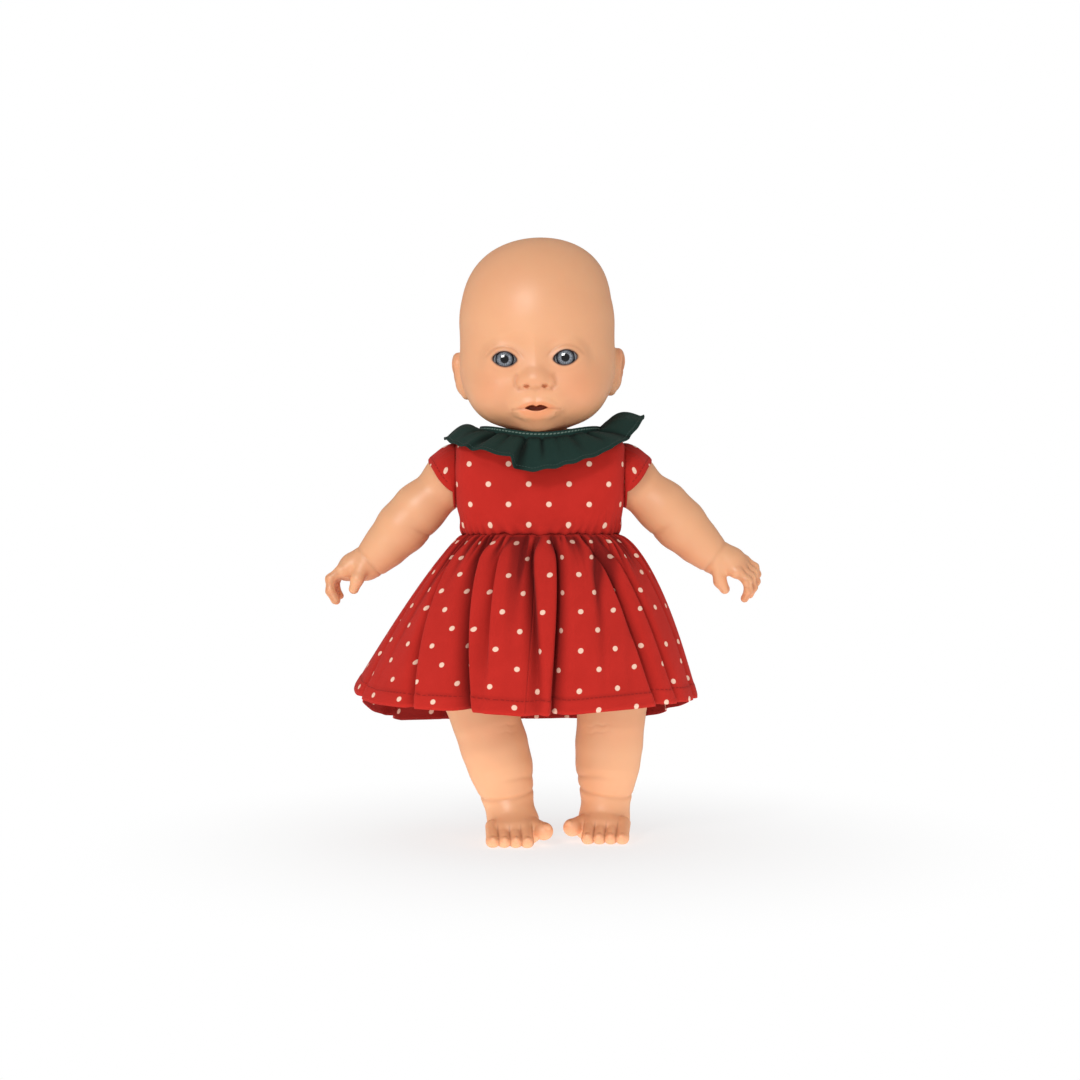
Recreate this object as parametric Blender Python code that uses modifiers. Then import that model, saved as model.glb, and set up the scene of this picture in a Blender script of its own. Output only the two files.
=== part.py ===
"""A soft-bodied baby doll in a short gathered dress with a ruffled collar.

The doll faces -Y and stands on its soles at z = 0, with +Z up. Left and right are the doll's own.
A stuffed cloth body carries a hollow vinyl head on a tied neck, and four hollow vinyl limbs on
disc joints, whose studs pass through the body cloth and are locked inside it by washers.
"""

import math

import bmesh
import bpy
import numpy as np
from mathutils import Matrix, Vector
from mathutils.bvhtree import BVHTree

# Whole doll, in metres
DOLL_HEIGHT = 0.360
HEAD_HEIGHT = 0.117
CHIN_Z = DOLL_HEIGHT - HEAD_HEIGHT
NECK_DROP = 0.009
NECK_PIVOT_Z = CHIN_Z - NECK_DROP
CLEARANCE = 0.0003
CUT_OVERRUN = 0.004

# Head
HEAD_WALL = 0.0032
HEAD_VOXEL = 0.0010
HEAD_ROLL = math.radians(-1.5)
HEAD_YAW = math.radians(-2.0)
NECK_RADIUS = 0.0165
NECK_FLANGE_DROP = 0.0085
NECK_GROOVE_DEPTH = 0.0032
NECK_GROOVE_HEIGHT = 0.0104
NECK_BORE_RADIUS = 0.0095

# Eyes, set in the head by its height
EYE_SPACING = HEAD_HEIGHT * 0.301
EYE_RISE = HEAD_HEIGHT * 0.355
EYE_SETBACK = HEAD_HEIGHT * 0.299
EYE_RADIUS = HEAD_HEIGHT * 0.0855
EYE_WALL = 0.0016
EYE_CUP_WALL = 0.0016
EYE_OPENING_WIDTH = EYE_RADIUS * 1.56
EYE_OPENING_HEIGHT = EYE_RADIUS * 0.90
IRIS_RADIUS = EYE_RADIUS * 0.54
IRIS_THICKNESS = 0.0008

# Mouth and ears
MOUTH_WIDTH = HEAD_HEIGHT * 0.110
MOUTH_HEIGHT = HEAD_HEIGHT * 0.029
MOUTH_DEPTH = HEAD_HEIGHT * 0.030
MOUTH_RISE = HEAD_HEIGHT * 0.111
EAR_BOWL_HEIGHT = HEAD_HEIGHT * 0.111
EAR_BOWL_WIDTH = HEAD_HEIGHT * 0.051

# Stuffed body
BODY_CLOTH = 0.0010
BODY_CENTRE_Y = 0.0020
BODY_BOTTOM_Z = NECK_PIVOT_Z * 0.453
SHOULDER_DROP = 0.0175
SHOULDER_Z = NECK_PIVOT_Z - SHOULDER_DROP
SHOULDER_HALF_WIDTH = 0.0490
CHEST_HALF_DEPTH = 0.0330
HIP_Z = NECK_PIVOT_Z * 0.547
WAIST_Z = BODY_BOTTOM_Z + (SHOULDER_Z - BODY_BOTTOM_Z) * 0.706
NECK_TIE_HEIGHT = 0.0022
NECK_TIE_THICKNESS = 0.0014

# Disc joints of the limbs
STUD_DISC_RADIUS = 0.0085
STUD_DISC_THICKNESS = 0.0016
STUD_STEM_RADIUS = 0.0026
STUD_STEM_TIP = 0.0030
WASHER_RADIUS = 0.0080
WASHER_THICKNESS = 0.0016
STUFFING_POCKET_RADIUS = 0.0100

# Arms
LIMB_WALL = 0.0025
LIMB_VOXEL = 0.0010
ARM_ROOT_RADIUS = 0.0168
ARM_LENGTH = 0.1120
ARM_DROP = math.radians(46)
LEFT_ARM_LIFT = math.radians(3.0)
ARM_SEAT_GAP = 0.0005
FINGER_RADIUS = 0.0029
FINGER_SPACING = 0.0048
PALM_HALF_WIDTH = 0.0096
THUMB_RADIUS = 0.0034

# Legs
LEG_ROOT_RADIUS = 0.0195
LEG_SEAT_GAP = 0.0008
FOOT_LENGTH = HIP_Z * 0.344
FOOT_WIDTH = HIP_Z * 0.258
FOOT_HEIGHT = HIP_Z * 0.172
TOE_RADIUS = FOOT_WIDTH * 0.118
BIG_TOE_RADIUS = FOOT_WIDTH * 0.160
TOE_SPACING = FOOT_WIDTH * 0.200

# Dress
DRESS_CLOTH = 0.0009
DRESS_GAP = 0.0004
ARMHOLE_EASE = 0.0041
ARMHOLE_RADIUS = ARM_ROOT_RADIUS + ARMHOLE_EASE
NECKLINE_HALF_WIDTH = 0.0345
NECKLINE_HALF_DEPTH = 0.0345
NECKLINE_FRONT_RISE = 0.0085
NECKLINE_FRONT_Z = NECK_PIVOT_Z + NECKLINE_FRONT_RISE
NECKLINE_SIDE_RISE = 0.0128
NECKLINE_SIDE_Z = NECK_PIVOT_Z + NECKLINE_SIDE_RISE
PLACKET_WIDTH = 0.0110
PLACKET_SLIT = 0.0008
SNAP_RADIUS = 0.0042
SNAP_THICKNESS = 0.0014
SLEEVE_TOP_LENGTH = 0.0160
SLEEVE_UNDER_LENGTH = 0.0030
SLEEVE_FLARE = 0.0035
COLLAR_BAND_HEIGHT = 0.0050
COLLAR_CLOTH = 0.0011
RUFFLE_WIDTH = 0.0255
RUFFLE_FLUTE_DEPTH = 0.0042
RUFFLE_FLUTES = 11
RUFFLE_SIDE_HANG = math.radians(-5)
RUFFLE_FRONT_HANG = math.radians(45)
RUFFLE_BACK_HANG = math.radians(18)
SKIRT_HEM_FRONT_Z = HIP_Z * 0.652
SKIRT_HEM_BACK_Z = HIP_Z * 0.510
SKIRT_HEM_SIDE_Z = HIP_Z * 0.668
SKIRT_HEM_HALF_WIDTH = 0.0990
SKIRT_HEM_HALF_DEPTH = 0.0790
SKIRT_HEM_SHIFT = 0.0065
SKIRT_FOLD_DEPTH = 0.0050
SKIRT_FOLDS = 13
SKIRT_TOP_SQUARENESS = 2.5

# Mesh fineness, as counts and shares of the faces that stay
RING_SEGMENTS = 20
SKIRT_SEGMENTS = 68
RUFFLE_SEGMENTS = 66
ROUND_SEGMENTS = 18
SMALL_SEGMENTS = 12
HEAD_RINGS = 29
HEAD_SEGMENTS = 42
HEAD_RING_BUNCHING = 1.45
HOLLOW_DETAIL_SHARE = 0.011
ARM_DETAIL_SHARE = 0.026
LEG_DETAIL_SHARE = 0.0148
HEAD_SMOOTH_ROUNDS = 10
LIMB_SMOOTH_ROUNDS = 5

# Head forms as shares of HEAD_HEIGHT from the chin on the head's axis: name, centre, radii.
# A form with a sideways centre is made on both sides.
HEAD_FORM_SHARES = [
    ("cranium", (0.0, 0.017, 0.574), (0.400, 0.440, 0.428)),
    ("occiput", (0.0, 0.130, 0.500), (0.350, 0.330, 0.360)),
    ("jaw", (0.0, -0.050, 0.312), (0.400, 0.345, 0.312)),
    ("cheek", (0.165, -0.180, 0.205), (0.170, 0.190, 0.155)),
    ("chin", (0.0, -0.205, 0.100), (0.120, 0.105, 0.098)),
    ("muzzle", (0.0, -0.225, 0.165), (0.180, 0.155, 0.120)),
    ("upper lip", (0.036, -0.352, 0.130), (0.058, 0.030, 0.022)),
    ("lower lip", (0.0, -0.342, 0.082), (0.078, 0.034, 0.028)),
    ("nose tip", (0.0, -0.392, 0.252), (0.060, 0.060, 0.050)),
    ("nose wing", (0.062, -0.362, 0.232), (0.040, 0.046, 0.036)),
    ("nose bridge", (0.0, -0.342, 0.330), (0.056, 0.048, 0.110)),
    ("eyelids", (0.1505, -0.2890, 0.355), (0.112, 0.115, 0.094)),
]

# Ear forms, outside the wrapped skin, in the same shares.
EAR_FORM_SHARES = [
    ("ear", (0.412, 0.050, 0.330), (0.038, 0.068, 0.118)),
    ("ear lobe", (0.392, 0.020, 0.232), (0.032, 0.038, 0.044)),
]

# Body sections from the crotch up, as shares: height from the bottom to the shoulder line,
# half width of SHOULDER_HALF_WIDTH, half depth of CHEST_HALF_DEPTH, and how square it is.
BODY_SECTION_SHARES = [
    (0.000, 0.20, 0.22, 2.0),
    (0.030, 0.42, 0.46, 2.6),
    (0.095, 0.490, 0.60, 3.4),
    (0.200, 0.500, 0.68, 3.8),
    (0.310, 0.500, 0.76, 3.6),
    (0.385, 0.540, 0.84, 2.6),
    (0.455, 0.700, 0.92, 2.3),
    (0.560, 0.845, 0.97, 2.3),
    (0.706, 0.905, 0.97, 2.4),
    (0.830, 0.980, 0.985, 3.4),
    (1.000, 1.0, 1.0, 4.6),
    (1.110, 1.0, 0.985, 4.4),
    (1.165, 0.985, 0.95, 3.6),
    (1.196, 0.900, 0.86, 2.6),
    (1.208, 0.740, 0.74, 2.2),
    (1.200, 0.560, 0.62, 2.0),
]

# The bodice follows the body but stands straighter up to the neckline, in the same shares.
BODICE_TOP_SHARES = [
    (1.165, 0.992, 1.00, 3.4),
    (1.202, 0.900, 0.985, 2.6),
]

# Arm outline: along it as a share of ARM_LENGTH, then raised above its straight line and
# radius as shares of ARM_ROOT_RADIUS. The hand's places are shares of ARM_LENGTH.
ARM_STATION_SHARES = [
    (0.090, 0.147, 0.847),
    (0.270, 0.220, 0.913),
    (0.405, 0.193, 0.907),
    (0.540, 0.167, 0.753),
    (0.630, 0.173, 0.600),
    (0.690, 0.200, 0.547),
]
PALM_SHARES = (0.765, 0.080, 0.064)
KNUCKLE_SHARES = (0.815, 0.110)
FINGER_BEND_SHARES = (0.885, 0.112)
FINGER_TIP_SHARES = (0.950, 0.072)
THUMB_ROOT_SHARES = (0.715, -0.060, 0.010)
THUMB_TIP_SHARES = (0.800, -0.115, 0.022)

# Leg outline as shares of the hip's height: height, radius, bulge forward, from hip to ankle.
LEG_STATION_SHARES = [
    (1.000, 0.150, 0.000),
    (0.840, 0.164, 0.012),
    (0.680, 0.164, 0.020),
    (0.560, 0.154, 0.018),
    (0.440, 0.154, -0.002),
    (0.330, 0.145, -0.010),
    (0.235, 0.118, -0.006),
    (0.170, 0.114, 0.000),
]

# Where each leg stands: side sign, hip and ankle places as shares of the hip's height,
# and the way the foot points, in degrees towards the other foot.
LEG_STANCE_SHARES = {
    "left": (1, 0.352, 0.306, 0.045, 10),
    "right": (-1, 0.340, 0.128, -0.050, 6),
}


def material(name, colour, roughness, metallic=0.0):
    made = bpy.data.materials.new(name)
    made.use_nodes = True
    shader = made.node_tree.nodes["Principled BSDF"]
    shader.inputs["Base Color"].default_value = (*colour, 1.0)
    shader.inputs["Roughness"].default_value = roughness
    shader.inputs["Metallic"].default_value = metallic
    made.diffuse_color = (*colour, 1.0)
    return made


def clear_scene():
    for old in list(bpy.data.objects):
        bpy.data.objects.remove(old, do_unlink=True)


clear_scene()
DOLL = bpy.data.collections.new("baby doll")
CUTTERS = bpy.data.collections.new("cutters")
bpy.context.scene.collection.children.link(DOLL)
bpy.context.scene.collection.children.link(CUTTERS)

SKIN = material("skin vinyl", (0.80, 0.44, 0.26), 0.42)
EYE_WHITE = material("eye white", (0.82, 0.80, 0.78), 0.2)
IRIS = material("iris grey blue", (0.24, 0.30, 0.38), 0.3)
CLEAR = material("clear eye dome", (0.95, 0.95, 0.95), 0.05)
RED_COTTON = material("red dotted cotton", (0.50, 0.022, 0.016), 0.85)
GREEN_COTTON = material("dark green cotton", (0.014, 0.052, 0.042), 0.8)
BODY_COTTON = material("body cloth", (0.62, 0.36, 0.24), 0.9)
STUFFING = material("polyester stuffing", (0.88, 0.88, 0.86), 0.95)
WHITE_PLASTIC = material("white plastic", (0.80, 0.80, 0.78), 0.4)


def place(obj, parent=None, collection=DOLL):
    """Puts an object made in world places into its collection, under its joint's empty."""
    collection.objects.link(obj)
    if parent:
        obj.parent = parent
        obj.matrix_parent_inverse = parent.matrix_world.inverted()
    return obj


def finish(obj, angle=math.radians(40)):
    obj.data.shade_smooth()
    obj.data.set_sharp_from_angle(angle=angle)
    return obj


def from_bmesh(name, bm, mat, parent=None):
    bmesh.ops.recalc_face_normals(bm, faces=bm.faces)
    mesh = bpy.data.meshes.new(name)
    bm.to_mesh(mesh)
    bm.free()
    if mat:
        mesh.materials.append(mat)
    obj = bpy.data.objects.new(name, mesh)
    return finish(place(obj, parent, DOLL if mat else CUTTERS))


def joint_empty(name, point):
    empty = bpy.data.objects.new(name, None)
    empty.location = point
    DOLL.objects.link(empty)
    bpy.context.view_layer.update()
    return empty


def cutter(obj):
    obj.hide_render = True
    obj.display_type = "WIRE"
    return obj


def boolean(obj, tool, operation="DIFFERENCE"):
    modifier = obj.modifiers.new(tool.name, "BOOLEAN")
    modifier.operation = operation
    modifier.solver = "EXACT"
    modifier.object = tool
    return obj


def settle(obj):
    """Bakes the modifiers that are on the object into its mesh."""
    bpy.context.view_layer.update()
    evaluated = obj.evaluated_get(bpy.context.evaluated_depsgraph_get())
    mesh = bpy.data.meshes.new_from_object(evaluated)
    obj.modifiers.clear()
    obj.data = mesh
    return finish(obj)


def add_ball(bm, centre, radii, turn=None, segments=ROUND_SEGMENTS):
    """An ellipsoid in the mesh, its radii along X, Y and Z before it is turned."""
    matrix = Matrix.Translation(centre)
    if turn:
        matrix = matrix @ turn
    matrix = matrix @ Matrix.Diagonal((*radii, 1.0))
    rings = segments // 2
    bmesh.ops.create_uvsphere(bm, u_segments=segments, v_segments=rings, radius=1.0, matrix=matrix)


def add_bone(bm, start, end, start_radius, end_radius, segments=ROUND_SEGMENTS):
    """A tapered bar with round ends."""
    start, end = Vector(start), Vector(end)
    run = end - start
    matrix = Matrix.Translation((start + end) / 2) @ run.to_track_quat("Z", "Y").to_matrix().to_4x4()
    bmesh.ops.create_cone(
        bm, cap_ends=True, segments=segments, radius1=start_radius, radius2=end_radius,
        depth=run.length, matrix=matrix)
    add_ball(bm, start, (start_radius,) * 3, segments=segments)
    add_ball(bm, end, (end_radius,) * 3, segments=segments)


def moulded(name, bm, mat, voxel, detail_share, smooth_rounds, parent=None):
    """One soft skin over overlapping forms, thinned to the share of faces that stays."""
    obj = from_bmesh(name, bm, mat, parent)
    skin = obj.modifiers.new("skin", "REMESH")
    skin.mode = "VOXEL"
    skin.voxel_size = voxel
    soften = obj.modifiers.new("soften", "SMOOTH")
    soften.factor = 0.5
    soften.iterations = smooth_rounds
    if detail_share < 1:
        thin = obj.modifiers.new("thin", "DECIMATE")
        thin.ratio = detail_share
    return settle(obj)


def wrapped_rings(target, centre, pole):
    """Rings of places on the target's skin round the pole's direction, closest together near it."""
    tree = BVHTree.FromObject(target, bpy.context.evaluated_depsgraph_get())
    turn = pole.to_track_quat("Z", "X").to_matrix()
    rings = []
    for ring in range(1, HEAD_RINGS):
        angle = math.pi * (ring / HEAD_RINGS) ** HEAD_RING_BUNCHING
        loop = []
        for step in range(HEAD_SEGMENTS):
            around = 2 * math.pi * step / HEAD_SEGMENTS
            way = turn @ Vector((math.sin(angle) * math.cos(around),
                                 math.sin(angle) * math.sin(around), math.cos(angle)))
            loop.append(tree.ray_cast(centre + HEAD_HEIGHT * way, -way)[0])
        rings.append(loop)
    return rings


def rod(name, start, end, radius, mat=None, parent=None, segments=ROUND_SEGMENTS):
    """A round bar between two places."""
    start, end = Vector(start), Vector(end)
    run = end - start
    bm = bmesh.new()
    matrix = Matrix.Translation((start + end) / 2) @ run.to_track_quat("Z", "Y").to_matrix().to_4x4()
    bmesh.ops.create_cone(
        bm, cap_ends=True, segments=segments, radius1=radius, radius2=radius,
        depth=run.length, matrix=matrix)
    obj = from_bmesh(name, bm, mat, parent)
    return obj if mat else cutter(obj)


def ball(name, centre, radii, turn=None, segments=ROUND_SEGMENTS):
    bm = bmesh.new()
    add_ball(bm, centre, radii, turn, segments)
    return cutter(from_bmesh(name, bm, None))


def ring_of(name, profile, centre, axis_turn, mat, parent=None, steps=ROUND_SEGMENTS):
    """A turned piece: profile of (radius, height) points, round the turned Z axis at the centre."""
    bm = bmesh.new()
    count = len(profile)
    matrix = Matrix.Translation(centre) @ axis_turn
    rows = []
    for step in range(steps):
        angle = 2 * math.pi * step / steps
        rows.append([
            bm.verts.new(matrix @ Vector((r * math.cos(angle), r * math.sin(angle), h)))
            for r, h in profile])
    for step in range(steps):
        here, there = rows[step], rows[(step + 1) % steps]
        for i in range(count):
            j = (i + 1) % count
            bm.faces.new((here[i], there[i], there[j], here[j]))
    return from_bmesh(name, bm, mat, parent)


def section_loop(centre_y, half_width, half_depth, squareness, z, segments=RING_SEGMENTS):
    """A flat loop round the body: an ellipse, or squarer the higher the squareness."""
    points = []
    for step in range(segments):
        angle = 2 * math.pi * step / segments
        c, s = math.cos(angle), math.sin(angle)
        power = 2 / squareness
        x = half_width * math.copysign(abs(c) ** power, c)
        y = centre_y + half_depth * math.copysign(abs(s) ** power, s)
        points.append(Vector((x, y, z)))
    return points


def loft(name, loops, mat, parent=None, caps=(False, False)):
    """A skin through loops that have the same number of points."""
    bm = bmesh.new()
    rows = [[bm.verts.new(p) for p in loop] for loop in loops]
    count = len(loops[0])
    for low, high in zip(rows, rows[1:]):
        for i in range(count):
            j = (i + 1) % count
            bm.faces.new((low[i], low[j], high[j], high[i]))
    if caps[0]:
        bm.faces.new(list(reversed(rows[0])))
    if caps[1]:
        bm.faces.new(rows[-1])
    return from_bmesh(name, bm, mat, parent)


def thicken(obj, thickness, offset=-1.0):
    modifier = obj.modifiers.new("cloth thickness", "SOLIDIFY")
    modifier.thickness = thickness
    modifier.offset = offset
    modifier.use_even_offset = True
    return obj


def head_place(share):
    return Vector((0, 0, CHIN_Z)) + HEAD_HEIGHT * Vector(share)


def head_turn():
    """The slight roll and yaw that the head has at rest, about the neck's pivot."""
    pivot = Matrix.Translation((0, 0, NECK_PIVOT_Z))
    return (pivot @ Matrix.Rotation(HEAD_ROLL, 4, "Y") @ Matrix.Rotation(HEAD_YAW, 4, "Z")
            @ pivot.inverted())


def turned_with_head(obj):
    obj.data.transform(head_turn())
    return obj


def eye_centre(side):
    return Vector((side * EYE_SPACING / 2, -EYE_SETBACK, CHIN_Z + EYE_RISE))


def make_head(neck):
    bm = bmesh.new()
    for name, centre, radii in HEAD_FORM_SHARES:
        sizes = HEAD_HEIGHT * Vector(radii)
        for side in ((1, -1) if centre[0] else (1,)):
            spot = head_place((side * centre[0], centre[1], centre[2]))
            add_ball(bm, spot, sizes, segments=2 * ROUND_SEGMENTS)
    forms = moulded("head forms", bm, None, HEAD_VOXEL, 1, HEAD_SMOOTH_ROUNDS)
    middle = head_place((0, 0, 0.42))
    nose = head_place((0, -0.40, 0.26))
    rings = wrapped_rings(forms, middle, (nose - middle).normalized())
    bpy.data.objects.remove(forms, do_unlink=True)
    head = loft("head_shell", rings, SKIN, neck, caps=(True, True))
    for side, word in ((1, "left"), (-1, "right")):
        for name, centre, radii in EAR_FORM_SHARES:
            spot = head_place((side * centre[0], centre[1], centre[2]))
            boolean(head, ball(f"{word} {name}", spot, HEAD_HEIGHT * Vector(radii), segments=14), "UNION")
    flange_z = NECK_PIVOT_Z - NECK_FLANGE_DROP
    boolean(head, rod("neck", (0, 0, flange_z), (0, 0, CHIN_Z + HEAD_HEIGHT / 5), NECK_RADIUS), "UNION")

    groove_half = NECK_GROOVE_HEIGHT / 2
    inner = NECK_RADIUS - NECK_GROOVE_DEPTH
    outer = NECK_RADIUS + CUT_OVERRUN
    profile = [(inner, -groove_half * 0.8), (inner, groove_half * 0.8), (outer, groove_half),
               (outer, -groove_half)]
    groove = cutter(ring_of("neck groove cut", profile, (0, 0, NECK_PIVOT_Z), Matrix(), None))
    boolean(head, groove)

    hollow_bm = bmesh.new()
    for name, centre, radii in HEAD_FORM_SHARES[:3]:
        sizes = HEAD_HEIGHT * Vector(radii) - Vector((HEAD_WALL,) * 3)
        add_ball(hollow_bm, head_place(centre), sizes)
    hollow = moulded("head hollow", hollow_bm, None, 2 * HEAD_VOXEL, HOLLOW_DETAIL_SHARE,
                     LIMB_SMOOTH_ROUNDS)
    cutter(hollow)
    for side, word in ((1, "left"), (-1, "right")):
        cup_radius = EYE_RADIUS + CLEARANCE + EYE_CUP_WALL
        cup = ball(f"{word} eye cup", eye_centre(side), (cup_radius,) * 3, segments=ROUND_SEGMENTS)
        boolean(hollow, cup)
    boolean(head, hollow)
    bore = rod("neck bore", (0, 0, flange_z - CUT_OVERRUN), (0, 0, CHIN_Z + HEAD_HEIGHT / 4),
               NECK_BORE_RADIUS)
    boolean(head, bore)

    for side, word in ((1, "left"), (-1, "right")):
        centre = eye_centre(side)
        seat_radius = EYE_RADIUS + CLEARANCE
        boolean(head, ball(f"{word} eye seat", centre, (seat_radius,) * 3, segments=20))
        back = centre + Vector((0, EYE_RADIUS + 2 * CUT_OVERRUN, 0))
        boolean(head, rod(f"{word} eye way in", centre, back, EYE_RADIUS * 0.8))
        front = centre - Vector((0, EYE_RADIUS + CUT_OVERRUN, 0))
        opening = rod(f"{word} eye opening", centre, front, EYE_OPENING_WIDTH / 2)
        flatten = EYE_OPENING_HEIGHT / EYE_OPENING_WIDTH
        squash = (Matrix.Translation(centre) @ Matrix.Diagonal((1, 1, flatten, 1))
                  @ Matrix.Translation(-centre))
        opening.data.transform(squash)
        boolean(head, opening)
    mouth_front = -0.372 * HEAD_HEIGHT
    mouth = ball("mouth opening", (0, mouth_front, CHIN_Z + MOUTH_RISE),
                 (MOUTH_WIDTH / 2, MOUTH_DEPTH, MOUTH_HEIGHT / 2), segments=16)
    boolean(head, mouth)
    for side, word in ((1, "left"), (-1, "right")):
        bowl = ball(f"{word} ear bowl", head_place((side * 0.449, 0.040, 0.345)),
                    (EAR_BOWL_WIDTH / 3, EAR_BOWL_WIDTH / 2, EAR_BOWL_HEIGHT / 2), segments=12)
        boolean(head, bowl)
    settle(head)
    return turned_with_head(head)


def make_eyes(neck):
    for side, word in ((1, "left"), (-1, "right")):
        centre = eye_centre(side)
        forward = Matrix.Rotation(math.pi / 2, 4, "X")
        rim_angle = math.asin((IRIS_RADIUS + CLEARANCE) / EYE_RADIUS)
        steps = 4
        outer = []
        inner = []
        for step in range(steps):
            angle = rim_angle + (math.pi / 2 - rim_angle) * step / (steps - 1)
            thin = EYE_RADIUS - EYE_WALL
            outer.append((EYE_RADIUS * math.sin(angle), EYE_RADIUS * math.cos(angle)))
            inner.append((thin * math.sin(angle), thin * math.cos(angle)))
        floor_height = EYE_RADIUS * math.cos(rim_angle) - IRIS_THICKNESS - 2 * CLEARANCE
        rim = (IRIS_RADIUS + CLEARANCE, EYE_RADIUS * math.cos(rim_angle))
        floor = (IRIS_RADIUS + CLEARANCE, floor_height)
        well = (IRIS_RADIUS / 3, floor_height)
        well_back = (IRIS_RADIUS / 3, floor_height - EYE_WALL)
        below = [p for p in inner if p[1] < floor_height - EYE_WALL]
        profile = [well, floor, rim, *outer[1:], *reversed(below), (below[0][0], well_back[1]), well_back]
        white = ring_of(f"{word}_eye_white", profile, centre, forward, EYE_WHITE, neck)
        turned_with_head(white)
        disc_front = EYE_RADIUS * math.cos(rim_angle) - CLEARANCE
        back = centre - Vector((0, disc_front - IRIS_THICKNESS, 0))
        disc = rod(f"{word}_iris", back, centre - Vector((0, disc_front, 0)), IRIS_RADIUS, IRIS, neck)
        turned_with_head(disc)
        make_lens(word, centre, forward, rim_angle, neck)


def make_lens(word, centre, forward, rim_angle, neck):
    """The clear dome that carries the eye's round over the iris."""
    bm = bmesh.new()
    matrix = Matrix.Translation(centre) @ forward
    base = EYE_RADIUS * math.cos(rim_angle) + CLEARANCE
    edge = math.asin(IRIS_RADIUS / EYE_RADIUS) * 0.97
    rings = 4
    segments = ROUND_SEGMENTS
    bottom = [bm.verts.new(matrix @ Vector((EYE_RADIUS * math.sin(edge) * math.cos(a),
                                            EYE_RADIUS * math.sin(edge) * math.sin(a), base)))
              for a in (2 * math.pi * i / segments for i in range(segments))]
    bm.faces.new(list(reversed(bottom)))
    last = bottom
    for ring in range(1, rings):
        angle = edge * (1 - ring / rings)
        height = base + (EYE_RADIUS + CLEARANCE / 2 - base) * math.sin(math.pi / 2 * ring / rings)
        loop = [bm.verts.new(matrix @ Vector((EYE_RADIUS * math.sin(angle) * math.cos(a),
                                              EYE_RADIUS * math.sin(angle) * math.sin(a), height)))
                for a in (2 * math.pi * i / segments for i in range(segments))]
        for i in range(segments):
            j = (i + 1) % segments
            bm.faces.new((last[i], last[j], loop[j], loop[i]))
        last = loop
    bm.faces.new(last)
    turned_with_head(from_bmesh(f"{word}_eye_dome", bm, CLEAR, neck))


def body_height():
    return SHOULDER_Z - BODY_BOTTOM_Z


def dip(angle, share):
    """How far the top sections drop in front, to follow the neckline."""
    front = max(0.0, -math.sin(angle))
    weight = min(max((share - 1.0) / 0.21, 0.0), 1.0)
    return (NECKLINE_SIDE_RISE - NECKLINE_FRONT_RISE) * front ** 4 * weight


def grown_section(row, grow, segments=RING_SEGMENTS):
    """One section moved outwards by grow, also up at the shoulders and down at the crotch."""
    height, width, depth, square = row
    z = BODY_BOTTOM_Z + body_height() * height
    if height > 1.15:
        z += grow
    if height < 0.05:
        z -= grow
    loop = section_loop(BODY_CENTRE_Y, SHOULDER_HALF_WIDTH * width + grow,
                        CHEST_HALF_DEPTH * depth + grow, square, z, segments)
    for k, point in enumerate(loop):
        point.z -= dip(2 * math.pi * k / segments, height)
    return loop


def body_loops(grow):
    """The body's sections from the crotch to the neck, moved outwards by grow."""
    return [grown_section(row, grow) for row in BODY_SECTION_SHARES]


def neck_circle(radius, z, segments=RING_SEGMENTS):
    return section_loop(0, radius, radius, 2.0, z, segments)


def neck_seat_radius():
    return NECK_RADIUS - NECK_GROOVE_DEPTH + 2 * CLEARANCE


def joint_points():
    """Name, side, height and the body's half width there, for each limb."""
    shoulder = body_side_at(SHOULDER_Z)
    hip = body_side_at(HIP_Z)
    return [
        ("left_arm", 1, SHOULDER_Z, shoulder), ("right_arm", -1, SHOULDER_Z, shoulder),
        ("left_leg", 1, HIP_Z, hip), ("right_leg", -1, HIP_Z, hip)]


def body_side_at(z):
    heights = [BODY_BOTTOM_Z + body_height() * row[0] for row in BODY_SECTION_SHARES[:-2]]
    widths = [SHOULDER_HALF_WIDTH * row[1] for row in BODY_SECTION_SHARES[:-2]]
    return float(np.interp(z, heights, widths))


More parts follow.
